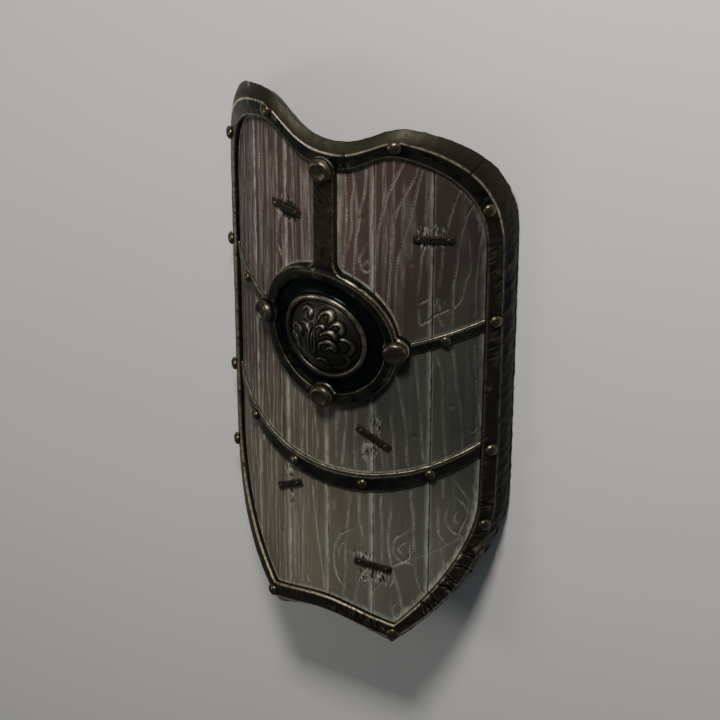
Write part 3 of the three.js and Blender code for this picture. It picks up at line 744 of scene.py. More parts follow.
def forged_iron(name, dark, brown, brass, shine=0.36):
    """Blackened iron, cool in its hollows and brown in patches, with bright metal where it is worn and where
    highlights are painted, and near black in marks and painted shade
    """
    material, tree, shader, place = finish_of(name, 0.9)
    rubbed, carved, browned = (field_of(tree, field) for field in ("rubbed", "carved", "browned"))
    cloud = mottle(tree, place, 26.0, 5.0)
    speck = mottle(tree, place, 240.0, 3.0, 0.65)
    patches = maths(tree, "ADD", cloud, maths(tree, "MULTIPLY", browned, 0.3))
    tone = blend(tree, spread(tree, patches, 0.40, 0.62), dark, brown)
    break_up = spread(tree, mottle(tree, place, 130.0, 5.0, 0.7), 0.32, 0.62, 0.35, 1.0)
    share = maths(tree, "MULTIPLY", rubbed, break_up)
    # Bright metal for wear and painted highlight, near black for marks and painted shade
    tone = blend(tree, carved, blend(tree, share, tone, brass), (0.006, 0.007, 0.007))
    tree.links.new(tone, shader.inputs["Base Color"])
    rough = spread(tree, speck, 0.3, 0.7, shine, shine + 0.2)
    rough = maths(tree, "SUBTRACT", rough, maths(tree, "MULTIPLY", share, 0.08))
    rough = maths(tree, "ADD", rough, maths(tree, "MULTIPLY", browned, 0.12))
    tree.links.new(rough, shader.inputs["Roughness"])
    fine = maths(tree, "ADD", maths(tree, "MULTIPLY", cloud, 0.8), maths(tree, "MULTIPLY", speck, 0.35))
    bumped(tree, shader, fine, 0.0011, 0.7)
    return material


def profile_of_rim():
    """Its section from under the face round the back to its front: share, length, out and undercut"""
    groove = board_seat + seat_gap
    under_face, over_lip = wood_front + seat_gap, wood_back - seat_gap
    rows = [(0, 0, under_face), (0, board_seat / 2, under_face), (0, groove, under_face)]
    rows += [(0, groove, over_lip), (0, (groove + lip_inset) / 2, over_lip), (0, lip_inset, over_lip)]
    rows += [(0, lip_inset, over_lip - lip_thickness / 3)]
    rows = [(*row, 0) for row in rows]
    rows += [(t, lip_inset * (1 - t), rim_back, t) for t in np.linspace(0, 1, 6)]
    rows += [(1, 0, rim_back + (-edge_drop - rim_back) * t, 1 - t) for t in np.linspace(0, 1, 8)[1:-1]]
    for t in 1 - (1 - np.linspace(0, 1, 26)[:-1]) ** 1.35:
        rows.append((1 - t, face_width * t, edge_drop * (t - 1) + 4 * edge_crown * t * (1 - t), 0))
    for t in np.linspace(0, 1, 17)[:-1]:
        rows.append((0, face_width + (inner_bevel - face_width) * t**1.3, 0, 0))
    rows += [(0, inner_bevel * (1 - t), -inner_bevel * t**1.6, 0) for t in np.linspace(0, 1, 4)]
    rows += [(0, 0, -inner_bevel + (under_face + inner_bevel) * t, 0) for t in (0.35, 0.7)]
    return np.array(rows)


def ring_faces(count, deep):
    """Squares of a closed ring of closed sections"""
    rows = np.arange(count * deep).reshape(count, deep)
    rows = np.concatenate([rows, rows[:1]])
    return net_faces(np.concatenate([rows, rows[:, :1]], 1))


share, length, out, drawn_in = (column[None, :] for column in profile_of_rim().T)
outer_line = on_rim(1, 0)[:, 0]
outer_steps = np.diff(outer_line, axis=0)
stations = np.concatenate([[0], np.cumsum(np.hypot(outer_steps[:, 0], outer_steps[:, 1]))])[:, None]
reach = share * rim_width[:, None] + length
open_part = (out > -edge_drop - 0.1) & ((length > 0) | (out > -inner_bevel - 0.1) | (share > 0))
on_slope = np.where(open_part, held((reach - face_width) / 6), 0)
on_face = np.where(open_part, held((face_width - reach) / 6), 0)
at_side = np.where((share == 1) & (out < -1), 1.0, 0.0) + 0 * stations
over = reach + np.where(share == 1, -out, 0)
dish = hammered(stations / patch_size + 3, over / (patch_size * 1.1), 31)
fine_dish = hammered(stations / 13, over / 12, 32)
hatch = ripple(stations / 2.2 + 0.6 * ripple(stations / 9, over / 9, 35), over / 11, 33)
scored = held(ripple(stations / 40, over / 30, 34) * 2.2)

middle_x, middle_y = on_rim(0, face_width)[:, 0].T[..., None]
at_head = held((middle_y - 330) / 120)
at_foot = held((-middle_y - 430) / 80)
on_right = middle_x > 0
at_low_right = held((-middle_y - 300) / 60) * (middle_x > 110)
beaten = 1 - 0.72 * at_head + 0.9 * at_low_right
sunk = on_slope * beaten * (patch_depth * dish**1.4 + 0.5 * fine_dish)
sunk = sunk + on_face * (0.45 * fine_dish + 0.6 * dish) * (1 - 0.3 * at_head + 1.3 * at_low_right)
sunk = sunk + at_side * (1.2 * dish + 0.4 * fine_dish)
sunk = sunk + (on_slope + on_face) * scored * 0.45 * held(hatch, -0.2)
near_crease = np.where(open_part, hump(reach, face_width, 2.4), 0)
sunk = sunk + near_crease * (crease_round + 0.5 * ripple(stations / 17, stations * 0, 36))

flat_x, flat_y = np.moveaxis(on_rim(share, length), -1, 0)
marked = np.zeros(flat_x.shape)
for line, width, depth in rim_marks:
    struck = np.zeros(flat_x.shape)
    line = smooth_line(line)
    for start, end in zip(line, line[1:]):
        step = end - start
        off_x, off_y = flat_x - start[0], flat_y - start[1]
        along = held((off_x * step[0] + off_y * step[1]) / (step @ step))
        struck = most(struck, hump(np.hypot(off_x - along * step[0], off_y - along * step[1]), 0, width))
    struck = struck * open_part
    marked = most(marked, struck)
    sunk = sunk + depth * struck
lean = np.where(at_side > 0, 1.0, 0.45 * on_slope)
undercut = held((outer_line[:, 1:] - undercut_from) / (undercut_full - undercut_from))
undercut = head_undercut * undercut**2 * (3 - 2 * undercut)
places = on_rim(share, length - lean * sunk - drawn_in * undercut)
points = bend(places[..., 0], places[..., 1], out - np.where(at_side > 0, 0, 1) * sunk)
points[..., 2] = np.maximum(points[..., 2], 0)

# Painted highlight: the crests are bright where they face the light, most at the head, the foot and the left
crest_light = most(at_head, 0.8 * at_foot, np.where(on_right, 0.1, 0.6))
crest_line = np.where(open_part, hump(reach, face_width + 0.4, 1.5), 0)
crest = 2.6 * crest_line * crest_light * (0.85 + 0.5 * ripple(stations / 14, stations * 0 + 3, 37))
inner_crest = np.where(open_part, hump(reach, 1.5, 2.0), 0) * held(crest_light, 0.2, 0.7)
low_face = at_low_right * on_face
ridges = held(0.25 - np.minimum(dish, 1 - low_face * (1 - fine_dish)), 0, 0.25)
ridges = (on_slope + low_face) * ridges * 2.2 * (0.6 + 0.5 * ripple(stations / 20, over / 8, 38))
# Worn ridges, weaker on the right, which is kept in painted shade
ridges = ridges * np.where(on_right, 0.35 + 1.3 * at_low_right, 1)
scratched = 0.22 * on_face * scored * held(-1.5 * hatch)
rim_rubbed = held(most(crest, inner_crest, ridges, scratched)) * (1 - marked)
torn_lips = at_low_right * hump(marked, 0.22, 0.13) * (0.5 + 0.5 * ripple(stations / 6, over / 6, 39))
in_shade = on_right * (1 - at_head) * (0.65 * on_slope + 0.75 * (at_side > 0) + 0.22 * on_face)
in_shade = in_shade * (1 - 0.6 * at_low_right)
rim_browned = held(on_face * 1.3) * (1 - at_head) + at_head * on_slope
rim_iron = forged_iron("rim_iron", (0.013, 0.019, 0.021), (0.042, 0.039, 0.028), (0.80, 0.70, 0.50))
rim = make_piece(
    "forged_rim",
    points,
    ring_faces(*rim_rubbed.shape),
    [],
    rim_iron,
    "iron",
    rubbed=most(rim_rubbed, 0.9 * torn_lips),
    carved=most(0.85 * marked, on_face * scored * 0.8 * held(hatch * 1.5), in_shade),
    browned=held(rim_browned),
)
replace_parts(rim, "rim")


# The frame. A ring, the upright strap above it and the four ears for the bolts, forged in one piece of
# thick iron. It lies over the edge of the boss, and its top lug laps over the rim.
ring_inner = 120.0
frame_top = 5.0
iron_base = -11.6
frame_bevel = 6.0
ear_radius = 28.0
bolt_seat = 5.5
upright_fillet = 26.0
rim_inner_top = 485.0
side_ear_across = 142.5
low_ear_up = -7.0
frame_grain = 0.00165
boss_flange_top = -6.0
side_spots = [(-side_ear_across, grip_level), (side_ear_across, grip_level)]
bolt_spots = [(0, rim_inner_top), *side_spots, (0, low_ear_up)]
ring_profile = [
    (ring_inner, iron_base),
    (ring_inner, frame_top - 3),
    (ring_inner + 1, frame_top - 1),
    (ring_inner + 3, frame_top),
    (ring_outer - frame_bevel, frame_top),
    (ring_outer - 2, frame_top - 2.6),
    (ring_outer, frame_top - frame_bevel),
    (ring_outer, iron_base),
]
ear_profile = [
    (0.2, iron_base),
    (0.2, bolt_seat),
    (ear_radius - frame_bevel, bolt_seat),
    (ear_radius - 2, bolt_seat - 2.8),
    (ear_radius, bolt_seat - frame_bevel),
    (ear_radius, iron_base),
]
lug_profile = [
    (0.2, fit_gap),
    (0.2, bolt_seat),
    (ear_radius - 4, bolt_seat),
    (ear_radius - 2, 3),
    (ear_radius, fit_gap),
]


def tube_faces(count, deep, turned_over=False):
    """Squares and ends of a closed bar, from the numbers of its sections and of their points"""
    rows = np.arange(count * deep).reshape(count, deep)
    squares = net_faces(np.concatenate([rows, rows[:, :1]], 1))
    ends = [rows[0][::-1], rows[-1]]
    if turned_over:
        return squares[:, ::-1], [end[::-1] for end in ends]
    return squares, ends


def turned(profile, around, middle):
    """A turned solid in the flat pattern, and its faces"""
    profile = np.array(profile, float)
    angle = np.linspace(0, 2 * math.pi, around, endpoint=False)[:, None]
    across = middle[0] + profile[:, 0] * np.cos(angle)
    up = middle[1] + profile[:, 0] * np.sin(angle)
    points = np.stack([across, up, profile[:, 1] + 0 * angle], -1)
    return points.reshape(-1, 3), ring_faces(*across.shape)[:, ::-1].tolist()


def upright_strap():
    """The upright strap, which widens into the ring with a fillet, and its faces"""
    wide = upright_half + upright_fillet
    fillet_foot = grip_level + math.sqrt(ring_outer**2 - wide**2)
    ways = [(fillet_foot - frame_bevel, wide)]
    for step in range(13):
        angle = math.pi / 2 * step / 12
        up = fillet_foot + upright_fillet * (1 - math.cos(angle))
        ways.append((up, wide - upright_fillet * math.sin(angle)))
    ways.append((rim_inner_top - fit_gap, upright_half))
    top = frame_top - 0.5
    sections = []
    for up, half in ways:
        right = [(half, iron_base), (half, top - frame_bevel)]
        right += [(half - 2, top - 2.4), (half - frame_bevel, top)]
        left = [(-across, out) for across, out in right]
        sections.append([(across, up, out) for across, out in left[:1] + right + left[:0:-1]])
    squares, ends = tube_faces(len(sections), len(sections[0]))
    return np.reshape(sections, (-1, 3)), squares.tolist() + [end.tolist() for end in ends]


parts = [turned(ring_profile, 180, (0, grip_level))]
parts += [turned(ear_profile, 64, spot) for spot in bolt_spots[1:]]
parts += [turned(lug_profile, 64, bolt_spots[0]), upright_strap()]
lump_points, lump_faces = [], []
for points, faces in parts:
    lump_faces += [[corner + len(lump_points) for corner in face] for face in faces]
    lump_points += [tuple(point / 1000) for point in points]
lumps = bpy.data.meshes.new("frame_lumps")
lumps.from_pydata(lump_points, [], lump_faces)
lump_object = bpy.data.objects.new("frame_lumps", lumps)
bpy.context.scene.collection.objects.link(lump_object)
fused = lump_object.modifiers.new("fused", "REMESH")
fused.mode = "VOXEL"
fused.voxel_size = frame_grain
softened = lump_object.modifiers.new("softened", "SMOOTH")
softened.factor = 0.5
softened.iterations = 2
whole = bpy.data.meshes.new_from_object(lump_object.evaluated_get(bpy.context.evaluated_depsgraph_get()))
bpy.data.objects.remove(lump_object)
flat = np.zeros((len(whole.vertices), 3))
whole.vertices.foreach_get("co", flat.reshape(-1))
flat = flat * 1000
normal = np.zeros(flat.shape)
whole.vertices.foreach_get("normal", normal.reshape(-1))
frame_squares = np.zeros((len(whole.polygons), 4), np.int32)
whole.loops.foreach_get("vertex_index", frame_squares.reshape(-1))
bpy.data.meshes.remove(whole)

across, up, out = flat.T.copy()
radius = np.hypot(across, up - grip_level)
angle = np.arctan2(across, up - grip_level)
on_top = held((out - (frame_top - 4)) / 3)
dish = hammered(across / 19 + 40, up / 19 + 40, 41)
fine_dish = hammered(across / 8, up / 8, 42)
upright = held((up - grip_level - ring_outer) / 25)
hatch = held(ripple((across + up) / 3.0, (across - up) / 16, 43)) * upright
hatch = hatch * held((up - 365) / 40, 0.15)
sunk = 0.75 * dish + 0.35 * fine_dish + 0.8 * hatch
sunk = sunk + 1.6 * held((radius - 137) / 15, -1.1) ** 2 * (radius < ring_outer + 1)
on_edge = held(1 - abs(radius - ring_outer + 3) / 4) + held(1 - abs(abs(across) - 21) / 4) * upright
chip = held(ripple(angle * 9, radius / 30, 44) * ripple(across / 11, up / 11, 45) * 2.2 - 0.25)
sunk = sunk + 2.4 * chip * held(on_edge)
sunk = sunk * held((out - iron_base) / 4)
moved = flat - normal * sunk[:, None]
over_flange = np.hypot(moved[:, 0], moved[:, 1] - grip_level) < ring_inner + fit_gap
moved[over_flange & (moved[:, 2] < boss_flange_top + fit_gap), 2] = boss_flange_top + fit_gap
moved[(moved[:, 1] > rim_inner_top - fit_gap) & (moved[:, 2] < fit_gap), 2] = fit_gap

# Painted highlight: the bevels and two thin lines round the ring are bright, most on the side towards the
# light; the hammer ridges on top are worn bright
lit_side = np.cos(angle - 0.8)
edge_tilt = held(1 - abs(normal[:, 2] - 0.72) / 0.26)
frame_rubbed = edge_tilt * held((out + 5) / 6) * (0.75 + 0.35 * ripple(across / 9, up / 9, 46))
around = 0.35 + 0.65 * held(0.5 + 0.7 * lit_side)
frame_rubbed = frame_rubbed * np.where(up > grip_level + ring_outer + 20, 0.45, around)
second_line = hump(radius, 139.5, 1.3) * held(1.4 * lit_side - 0.2) * on_top * (upright < 0.1)
inner_line = hump(radius, ring_inner + 2.2, 1.2) * held(0.5 + np.cos(angle - 0.9), 0.15) * on_top
ridges = held(0.25 - dish, 0, 0.25) * on_top
frame_rubbed = most(frame_rubbed, 0.8 * second_line, 0.7 * inner_line, ridges)
frame_iron = forged_iron("frame_iron", (0.017, 0.021, 0.021), (0.050, 0.044, 0.032), (0.52, 0.44, 0.30))
ring_and_strap = make_piece(
    "forged_frame",
    bend(*moved.T),
    frame_squares,
    [],
    frame_iron,
    "iron",
    rubbed=held(frame_rubbed),
    carved=held(most(0.75 * hatch * on_top, 0.6 * held(chip * 1.5) * (1 - frame_rubbed))),
    browned=upright,
)
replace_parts(ring_and_strap, "frame")


# The boss. One sheet of iron raised over a stake: a dome with leaf scrolls chased into it, a rolled
# bead round the dome and a dished flange under the ring. It is hollow behind, for the hand.
bead_radius = 90.0
bead_thickness = 6.0
dome_foot = -2.0
dome_radius = 78.0
dome_height = 30.0
boss_wall = 3.0
scroll_height = 2.6
scroll_half = 3.3
boss_around = 300
sphere = (dome_radius**2 + dome_height**2) / (2 * dome_height)
dome_middle = dome_foot + dome_height - sphere

# Leaf scrolls: middle across and up, radius, first and last angle, and how plump
scrolls = [
    (12, 51, 12, -20, 205, 1.0),
    (34, 34, 11, -50, 170, 1.0),
    (-30, 50, 10, -10, 190, 0.9),
    (5, 31, 7, 10, 200, 0.7),
    (21, 13, 15, 15, 160, 1.0),
    (20, -7, 15, 10, 205, 1.0),
    (27, -11, 8, 0, 180, 0.7),
    (-28, 24, 9, -20, 170, 0.9),
    (-47, 8, 12, 10, 200, 1.0),
    (-54, -14, 11, 10, 215, 0.9),
    (103, 2, 120, 166, 192, 0.6),
    (110, 0, 120, 168, 194, 0.5),
    (-123, 0, 120, -13, 12, 0.6),
    (-30, -35, 18, 120, 262, 1.0),
    (7, -46, 11, 0, 190, 0.9),
    (36, -34, 20, -110, 65, 1.0),
    (45, -3, 19, -60, 100, 1.0),
]


def scroll_relief(x, y):
    """Height of the chased scrolls: round ridges that thin towards their tails, with a sunk line beside"""
    rise, line = np.zeros(x.shape), np.zeros(x.shape)
    for across, up, radius, first, last, plump in scrolls:
        middle, half = math.radians((first + last) / 2), math.radians((last - first) / 2)
        angle = np.arctan2(y - up, x - across) - middle
        turn = held(np.arctan2(np.sin(angle), np.cos(angle)), -half, half)
        place = turn / half
        wide = scroll_half * plump * (0.98 - 0.42 * place)
        spot_x = across + radius * np.cos(turn + middle)
        spot_y = up + radius * np.sin(turn + middle)
        away = np.hypot(x - spot_x, y - spot_y) / wide
        rise = most(rise, np.exp(-(away**2.8)) * np.sqrt(held(1.1 - abs(place) ** 6)))
        line = most(line, hump(away, 1.62, 0.42))
    return rise, line * (1 - rise)


def profile_of_boss():
    """Its section, from the middle of the hollow round the flange to the middle of the dome"""
    inner_sphere = sphere - boss_wall
    inner_reach = math.asin((dome_radius - boss_wall) / inner_sphere)
    outer_reach = math.asin(dome_radius / sphere)
    under_ring = ring_inner - fit_gap
    hollow = []
    for t in np.linspace(0.001, 1, 14):
        turn = inner_reach * t
        hollow.append((inner_sphere * math.sin(turn), dome_middle + inner_sphere * math.cos(turn)))
    under = [dome_radius - boss_wall, (bead_radius + ring_inner) / 2, under_ring]
    under = [(radius, iron_base) for radius in under]
    flange = []
    for t in np.linspace(0, 1, 16):
        out = boss_flange_top - 1.6 * math.sin(math.pi * t) ** 0.7
        flange.append((under_ring - (under_ring - bead_radius) * t, out))
    bead = []
    for t in np.linspace(0, 1, 18):
        radius = bead_radius - bead_thickness + bead_thickness * math.cos(math.pi * t)
        bead.append((radius, dome_foot + 1 + (bead_thickness - 0.2) * math.sin(math.pi * t)))
    dome = []
    for t in np.linspace(0, 1, 78):
        turn = outer_reach * (1 - t)
        dome.append((sphere * math.sin(turn + 0.0001), dome_middle + sphere * math.cos(turn)))
    parts = [hollow, under, flange, bead, dome]
    kinds = [number for number, part in enumerate(parts) for _ in part]
    return np.array(sum(parts, [])), np.array(kinds)


profile, kinds = profile_of_boss()
angle = np.linspace(0, 2 * math.pi, boss_around, endpoint=False)[:, None]
across = profile[:, 0] * np.cos(angle)
up = profile[:, 0] * np.sin(angle)
out = profile[:, 1] + 0 * angle
on_flange, on_bead, on_dome = ((kinds == kind) & (angle > -1) for kind in (2, 3, 4))
rise, line = scroll_relief(across, up)
fade = held((dome_radius - np.hypot(across, up)) / 8)
lump = ripple(across / 11 + 50, up / 11 + 50, 51)
out = out + np.where(on_dome, fade * (scroll_height * rise - 0.8 * line - 0.5 + 0.4 * lump), 0)
out = out + np.where(on_bead, 0.35 * ripple(angle * 14, out / 9, 52), 0)
out = out - np.where(on_flange, 0.7 * hammered(across / 15 + 20, up / 15 + 20, 53), 0)
places = bend(across, up + grip_level, out)
places[..., 2] = np.minimum(places[..., 2], cad_box[1][2])
# Painted highlight: the scroll tops and the bead are bright on the side towards the light
lit = held(0.62 + (up - 0.35 * across) / 110, 0.22)
dome_share = fade * (lit * rise**4 * (0.75 + 0.3 * lump) + 0.03)
bead_share = held((out - dome_foot - 3.2) / 3) * (0.7 + 0.4 * ripple(angle * 9, out * 0 + 2, 54))
bead_share = bead_share * (0.08 + 0.92 * held(0.45 + 0.85 * np.cos(angle - 1.1)))
rows = np.arange(out.size).reshape(out.shape)
boss_iron = forged_iron("boss_iron", (0.014, 0.020, 0.022), (0.042, 0.041, 0.034), (0.44, 0.39, 0.28), 0.22)
# Painted shade: the sunk line beside each scroll is darkened
boss = make_piece(
    "raised_boss",
    places,
    net_faces(np.concatenate([rows, rows[:1]])),
    [rows[:, 0], rows[::-1, -1]],
    boss_iron,
    "iron",
    rubbed=held(np.where(on_bead, bead_share, np.where(on_dome, dome_share, 0))),
    carved=np.where(on_dome, fade * held(1.25 * line), 0),
    browned=np.where(on_dome, 0.6, np.where(on_bead, 0.5, -0.6)),
)
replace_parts(boss, "boss")


# The side straps and the band. Flat bars of thin iron, riveted over the boards: one from each side ear to
# the rim, and a long one that hangs across the shield below the boss.
strap_top = -7.0
bar_bevel = 2.5
bar_step = 2.4


def strap_wide(across):
    return 0 * across + strap_width


def forged_bar(name, start, end, line, width, seed, node):
    """A thin bar over the boards, with hammered edges and nicks"""
    across = np.linspace(start, end, round(abs(end - start) / bar_step) + 1)[:, None]
    ways = np.linspace(0.02, 0.98, 12)
    crown = 0.5 * np.sqrt(1 - (1 - np.minimum(ways / 0.1, 1)) ** 2) + 0.5
    side = np.concatenate([[-1, -1, -1], ways - 1, ways, [1, 1, 1]])[None, :]
    rise = np.concatenate([[-1, -0.4, 0], crown, crown[::-1], [0, -0.4, -1]])[None, :]
    out = np.where(rise >= 0.5, strap_top - bar_bevel * (1 - rise) * 2, iron_base + (rise + 1) * 1.3)
    over = side * width(across) / 2
    dish = hammered(across / 21 + seed, over / 17 + 30, seed)
    chip = held(ripple(across / 8, over / 9, seed + 1) - 0.35)
    raised = held(rise) + 0 * across
    edge = held((abs(side) - 0.72) / 0.28)
    out = out - raised * (0.7 * dish + 1.6 * chip * edge + 0.8 * hump(side, 0.76, 0.09))
    over = over * (1 - 0.05 * chip - 0.02 * ripple(across / 15, side * 2, seed + 2))
    # Painted highlight: bright lines along the edges and the crown, the upper edge brighter as if lit from
    # the head
    lines = hump(abs(side), 0.93, 0.09) * np.where(side > 0, 1.2, 0.4)
    lines = most(lines, hump(side, 0.6, 0.08) * 0.9)
    rubbed = held(raised * lines * (0.8 + 0.4 * ripple(across / 12, side, seed + 3)))
    places = bend(across, line(across) + over, out)
    faces = tube_faces(*rubbed.shape, turned_over=True)
    bar = make_piece(name, places, *faces, band_iron, "iron", rubbed=rubbed)
    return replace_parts(bar, node)


band_iron = forged_iron("band_iron", (0.020, 0.026, 0.026), (0.060, 0.056, 0.040), (0.56, 0.49, 0.35))
forged_bar("strap_right", strap_start, strap_end, strap_line, strap_wide, 61, "side_strap_right")
forged_bar("strap_left", -strap_end, -strap_start, strap_line, strap_wide, 65, "side_strap_left")
forged_bar("sagging_band", -band_end, band_end, band_line, band_wide, 71, "band")


# The bolts and rivets. Round iron heads, hammered down: four large bolts in the frame's ears, with a
# sunk flat on top, twelve rivets in the rim, and smaller ones in the band and the straps.
def head_tree():
    """Heads on the points of a flat pattern, bowed with the shield: sizes in metres"""
    tree = bpy.data.node_groups.new("forged_heads", "GeometryNodeTree")
    sizes = ("Radius", "Flat", "Skirt", "Height", "Dish", "Lumps", "Bow Radius", "Lift")
    sockets = {"Geometry": "Geometry", **dict.fromkeys(sizes, "Float")}
    sockets |= {**dict.fromkeys(("Around", "Rings", "Seed"), "Int"), "Material": "Material"}
    for name, kind in sockets.items():
        tree.interface.new_socket(name=name, in_out="INPUT", socket_type="NodeSocket" + kind)
    tree.interface.new_socket(name="Geometry", in_out="OUTPUT", socket_type="NodeSocketGeometry")
    given = add_node(tree, "NodeGroupInput").outputs

    def calculator(operation):
        return lambda first, second=0.0: maths(tree, operation, first, second)

    def step(kind, geometry, inputs=None, **settings):
        links = {"Geometry": geometry, **(inputs or {})}
        return add_node(tree, "GeometryNode" + kind, links, **settings).outputs[0]

    def kept(geometry, name, value):
        inputs = {"Name": name, "Value": value}
        return step("StoreNamedAttribute", geometry, inputs, data_type="FLOAT", domain="POINT")

    def spot_now():
        position = add_node(tree, "GeometryNodeInputPosition").outputs[0]
        return add_node(tree, "ShaderNodeSeparateXYZ", {0: position}).outputs

    def joined(x, y, z):
        return add_node(tree, "ShaderNodeCombineXYZ", {0: x, 1: y, 2: z}).outputs[0]

    plus, minus, times = calculator("ADD"), calculator("SUBTRACT"), calculator("MULTIPLY")
    sine, cosine = calculator("SINE"), calculator("COSINE")
    net = {"Size X": 1.0, "Size Y": 1.0, "Vertices X": given["Around"], "Vertices Y": given["Rings"]}
    grid = add_node(tree, "GeometryNodeMeshGrid", net).outputs["Mesh"]
    spot = spot_now()
    angle = times(plus(spot[0], 0.5), 2 * math.pi)
    t = plus(spot[1], 0.5)
    crown = times(spread(tree, t, 0.20, 0.72), math.pi / 2)
    radius = plus(given["Flat"], times(minus(given["Radius"], given["Flat"]), cosine(crown)))
    radius = times(times(radius, spread(tree, t, 0.0, 0.08)), minus(1.0, spread(tree, t, 0.72, 1.0)))
    height = times(given["Skirt"], spread(tree, t, 0.08, 0.20))
    height = plus(height, times(minus(given["Height"], given["Skirt"]), sine(crown)))
    height = minus(height, times(given["Dish"], spread(tree, t, 0.72, 0.84)))
    wrapped = joined(times(radius, cosine(angle)), times(radius, sine(angle)), height)
    head = step("SetPosition", grid, {"Position": wrapped})
    # The crown is bright, partly wear and partly painted sheen, and the sunk flat is darkened
    crown_wear_and_sheen = times(spread(tree, t, 0.26, 0.62), spread(tree, t, 0.80, 0.70, 0.06, 1.0))
    head = kept(kept(head, "rubbed", crown_wear_and_sheen), "carved", spread(tree, t, 0.72, 0.80, 0.0, 0.85))
    head = step("MergeByDistance", head, {"Distance": 0.00003})
    chance = {"Min": 0.0, "Max": 6.28, "Seed": given["Seed"]}
    chance = add_node(tree, "FunctionNodeRandomValue", chance, data_type="FLOAT").outputs
    spin = joined(0.0, 0.0, [socket for socket in chance if socket.enabled][0])
    placing = {"Points": given["Geometry"], "Instance": head, "Rotation": spin}
    placed = add_node(tree, "GeometryNodeInstanceOnPoints", placing).outputs[0]
    real = step("RealizeInstances", placed)
    lump = add_node(tree, "ShaderNodeTexNoise", {"Scale": 95.0, "Detail": 1.5}).outputs["Fac"]
    outwards = add_node(tree, "GeometryNodeInputNormal").outputs[0]
    push = {0: outwards, "Scale": times(minus(lump, 0.62), given["Lumps"])}
    push = add_node(tree, "ShaderNodeVectorMath", push, operation="SCALE").outputs[0]
    beaten = step("SetPosition", real, {"Offset": push})
    here = spot_now()
    bow = maths(tree, "DIVIDE", here[0], given["Bow Radius"])
    arm = plus(given["Bow Radius"], here[2])
    level = minus(times(arm, cosine(bow)), given["Bow Radius"])
    bowed = joined(times(arm, sine(bow)), here[1], plus(level, given["Lift"]))
    on_shield = step("SetPosition", beaten, {"Position": bowed})
    dressed = step("SetMaterial", on_shield, {"Material": given["Material"]})
    add_node(tree, "NodeGroupOutput", {"Geometry": step("SetShadeSmooth", dressed)})
    return tree


def heads(name, points, nodes, material, seed, slot="rivets", **sizes):
    """Heads of one kind on spots of the flat pattern, with their sizes in millimetres"""
    given = {key.title(): value / 1000 for key, value in sizes.items()}
    given["Around"], given["Rings"] = (28, 17) if sizes["radius"] > 6 else (14, 9)
    given |= {"Bow Radius": bow_radius / 1000, "Lift": lift / 1000, "Seed": seed, "Material": material}
    spots = bpy.data.meshes.new(name + "_spots")
    spots.from_pydata([tuple(np.array(point) / 1000) for point in points], [], [])
    maker = bpy.data.objects.new(name + "_spots", spots)
    bpy.context.scene.collection.objects.link(maker)
    recipe = maker.modifiers.new("heads", "NODES")
    recipe.node_group = forged_heads
    for item in forged_heads.interface.items_tree:
        if item.in_out == "INPUT" and item.name in given:
            recipe[item.identifier] = given[item.name]
    made = bpy.data.meshes.new_from_object(maker.evaluated_get(bpy.context.evaluated_depsgraph_get()))
    bpy.data.objects.remove(maker)
    bpy.data.meshes.remove(spots)
    made.name = name
    piece = bpy.data.objects.new(name, made)
    bpy.context.scene.collection.objects.link(piece)
    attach(piece, "root")
    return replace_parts(piece, *nodes)


forged_heads = head_tree()
bolt_tones = ((0.012, 0.019, 0.020), (0.016, 0.023, 0.024), (0.17, 0.14, 0.09))
rivet_tones = ((0.035, 0.032, 0.022), (0.062, 0.054, 0.034), (0.16, 0.135, 0.085))
bolt_iron = forged_iron("bolt_iron", *bolt_tones, 0.30)
rivet_iron = forged_iron("rivet_iron", *rivet_tones, 0.27)
bolt_names = ("bolt_top", "bolt_left", "bolt_right", "bolt_bottom")
heads(
    "forged_bolts", [(*spot, bolt_seat + fit_gap) for spot in bolt_spots], bolt_names, bolt_iron, 3,
    radius=24, flat=15, skirt=3.5, height=14, dish=2.6, lumps=2.2,
)

# The rim's rivets, each by its curve of the edge and how far along it, and those of the band by their
# share of its half length
rim_rivet_places = ((0, 0.92), (1, 0.75), (2, 0.25), (2, 0.75), (3, 0.15), (3, 1))
band_rivet_shares = (0.25, 0.68)
strap_rivet_share = 0.46
peak_rivet_out = 24.0
curve_starts = np.concatenate([[0], np.cumsum([round(length / station_step) for length in curve_lengths])])
rim_spots, rim_names, small_spots, small_names = [], [], [], []
for side, side_name in ((-1, "left"), (1, "right")):
    for number, (curve, along) in enumerate(rim_rivet_places):
        station = curve_starts[curve] + along * (curve_starts[curve + 1] - curve_starts[curve])
        line = on_rim(0, (inner_bevel + face_width) / 2 if curve else peak_rivet_out)[:, 0]
        across, up = line[round(station)]
        rim_spots.append((side * across, up, fit_gap))
        rim_names.append(f"rim_rivet_{side_name}_{number + 1}")
    for number, share in enumerate(band_rivet_shares):
        small_spots.append((side * share * band_end, band_line(share * band_end), strap_top + fit_gap))
        small_names.append(f"band_rivet_{side_name}_{number + 1}")
    across = strap_start + strap_rivet_share * (strap_end - strap_start)
    small_spots.append((side * across, strap_line(across), strap_top + fit_gap))
    small_names.append(f"strap_rivet_{side_name}")
heads(
    "rim_rivets", rim_spots, rim_names, rivet_iron, 4,
    radius=13, flat=1, skirt=2.5, height=10, dish=0, lumps=2.0,
)
heads(
    "band_rivets", small_spots, small_names, rivet_iron, 5,
    radius=11, flat=1, skirt=2.2, height=9, dish=0, lumps=1.8,
)


# The cleats. Five short bars of rusted iron, nailed across cracks and joints of the boards. Each is given
# by its middle, across and up, and its slant in degrees.
cleats = [(-99, 362, 2), (211, 359, -3), (98, -91, -31), (-99, -269, 32), (98, -395, -9)]
cleat_length = 78.0
cleat_width = 14.0
cleat_thickness = 4.0
nail_inset = 11.0
nail_seat = -7.2


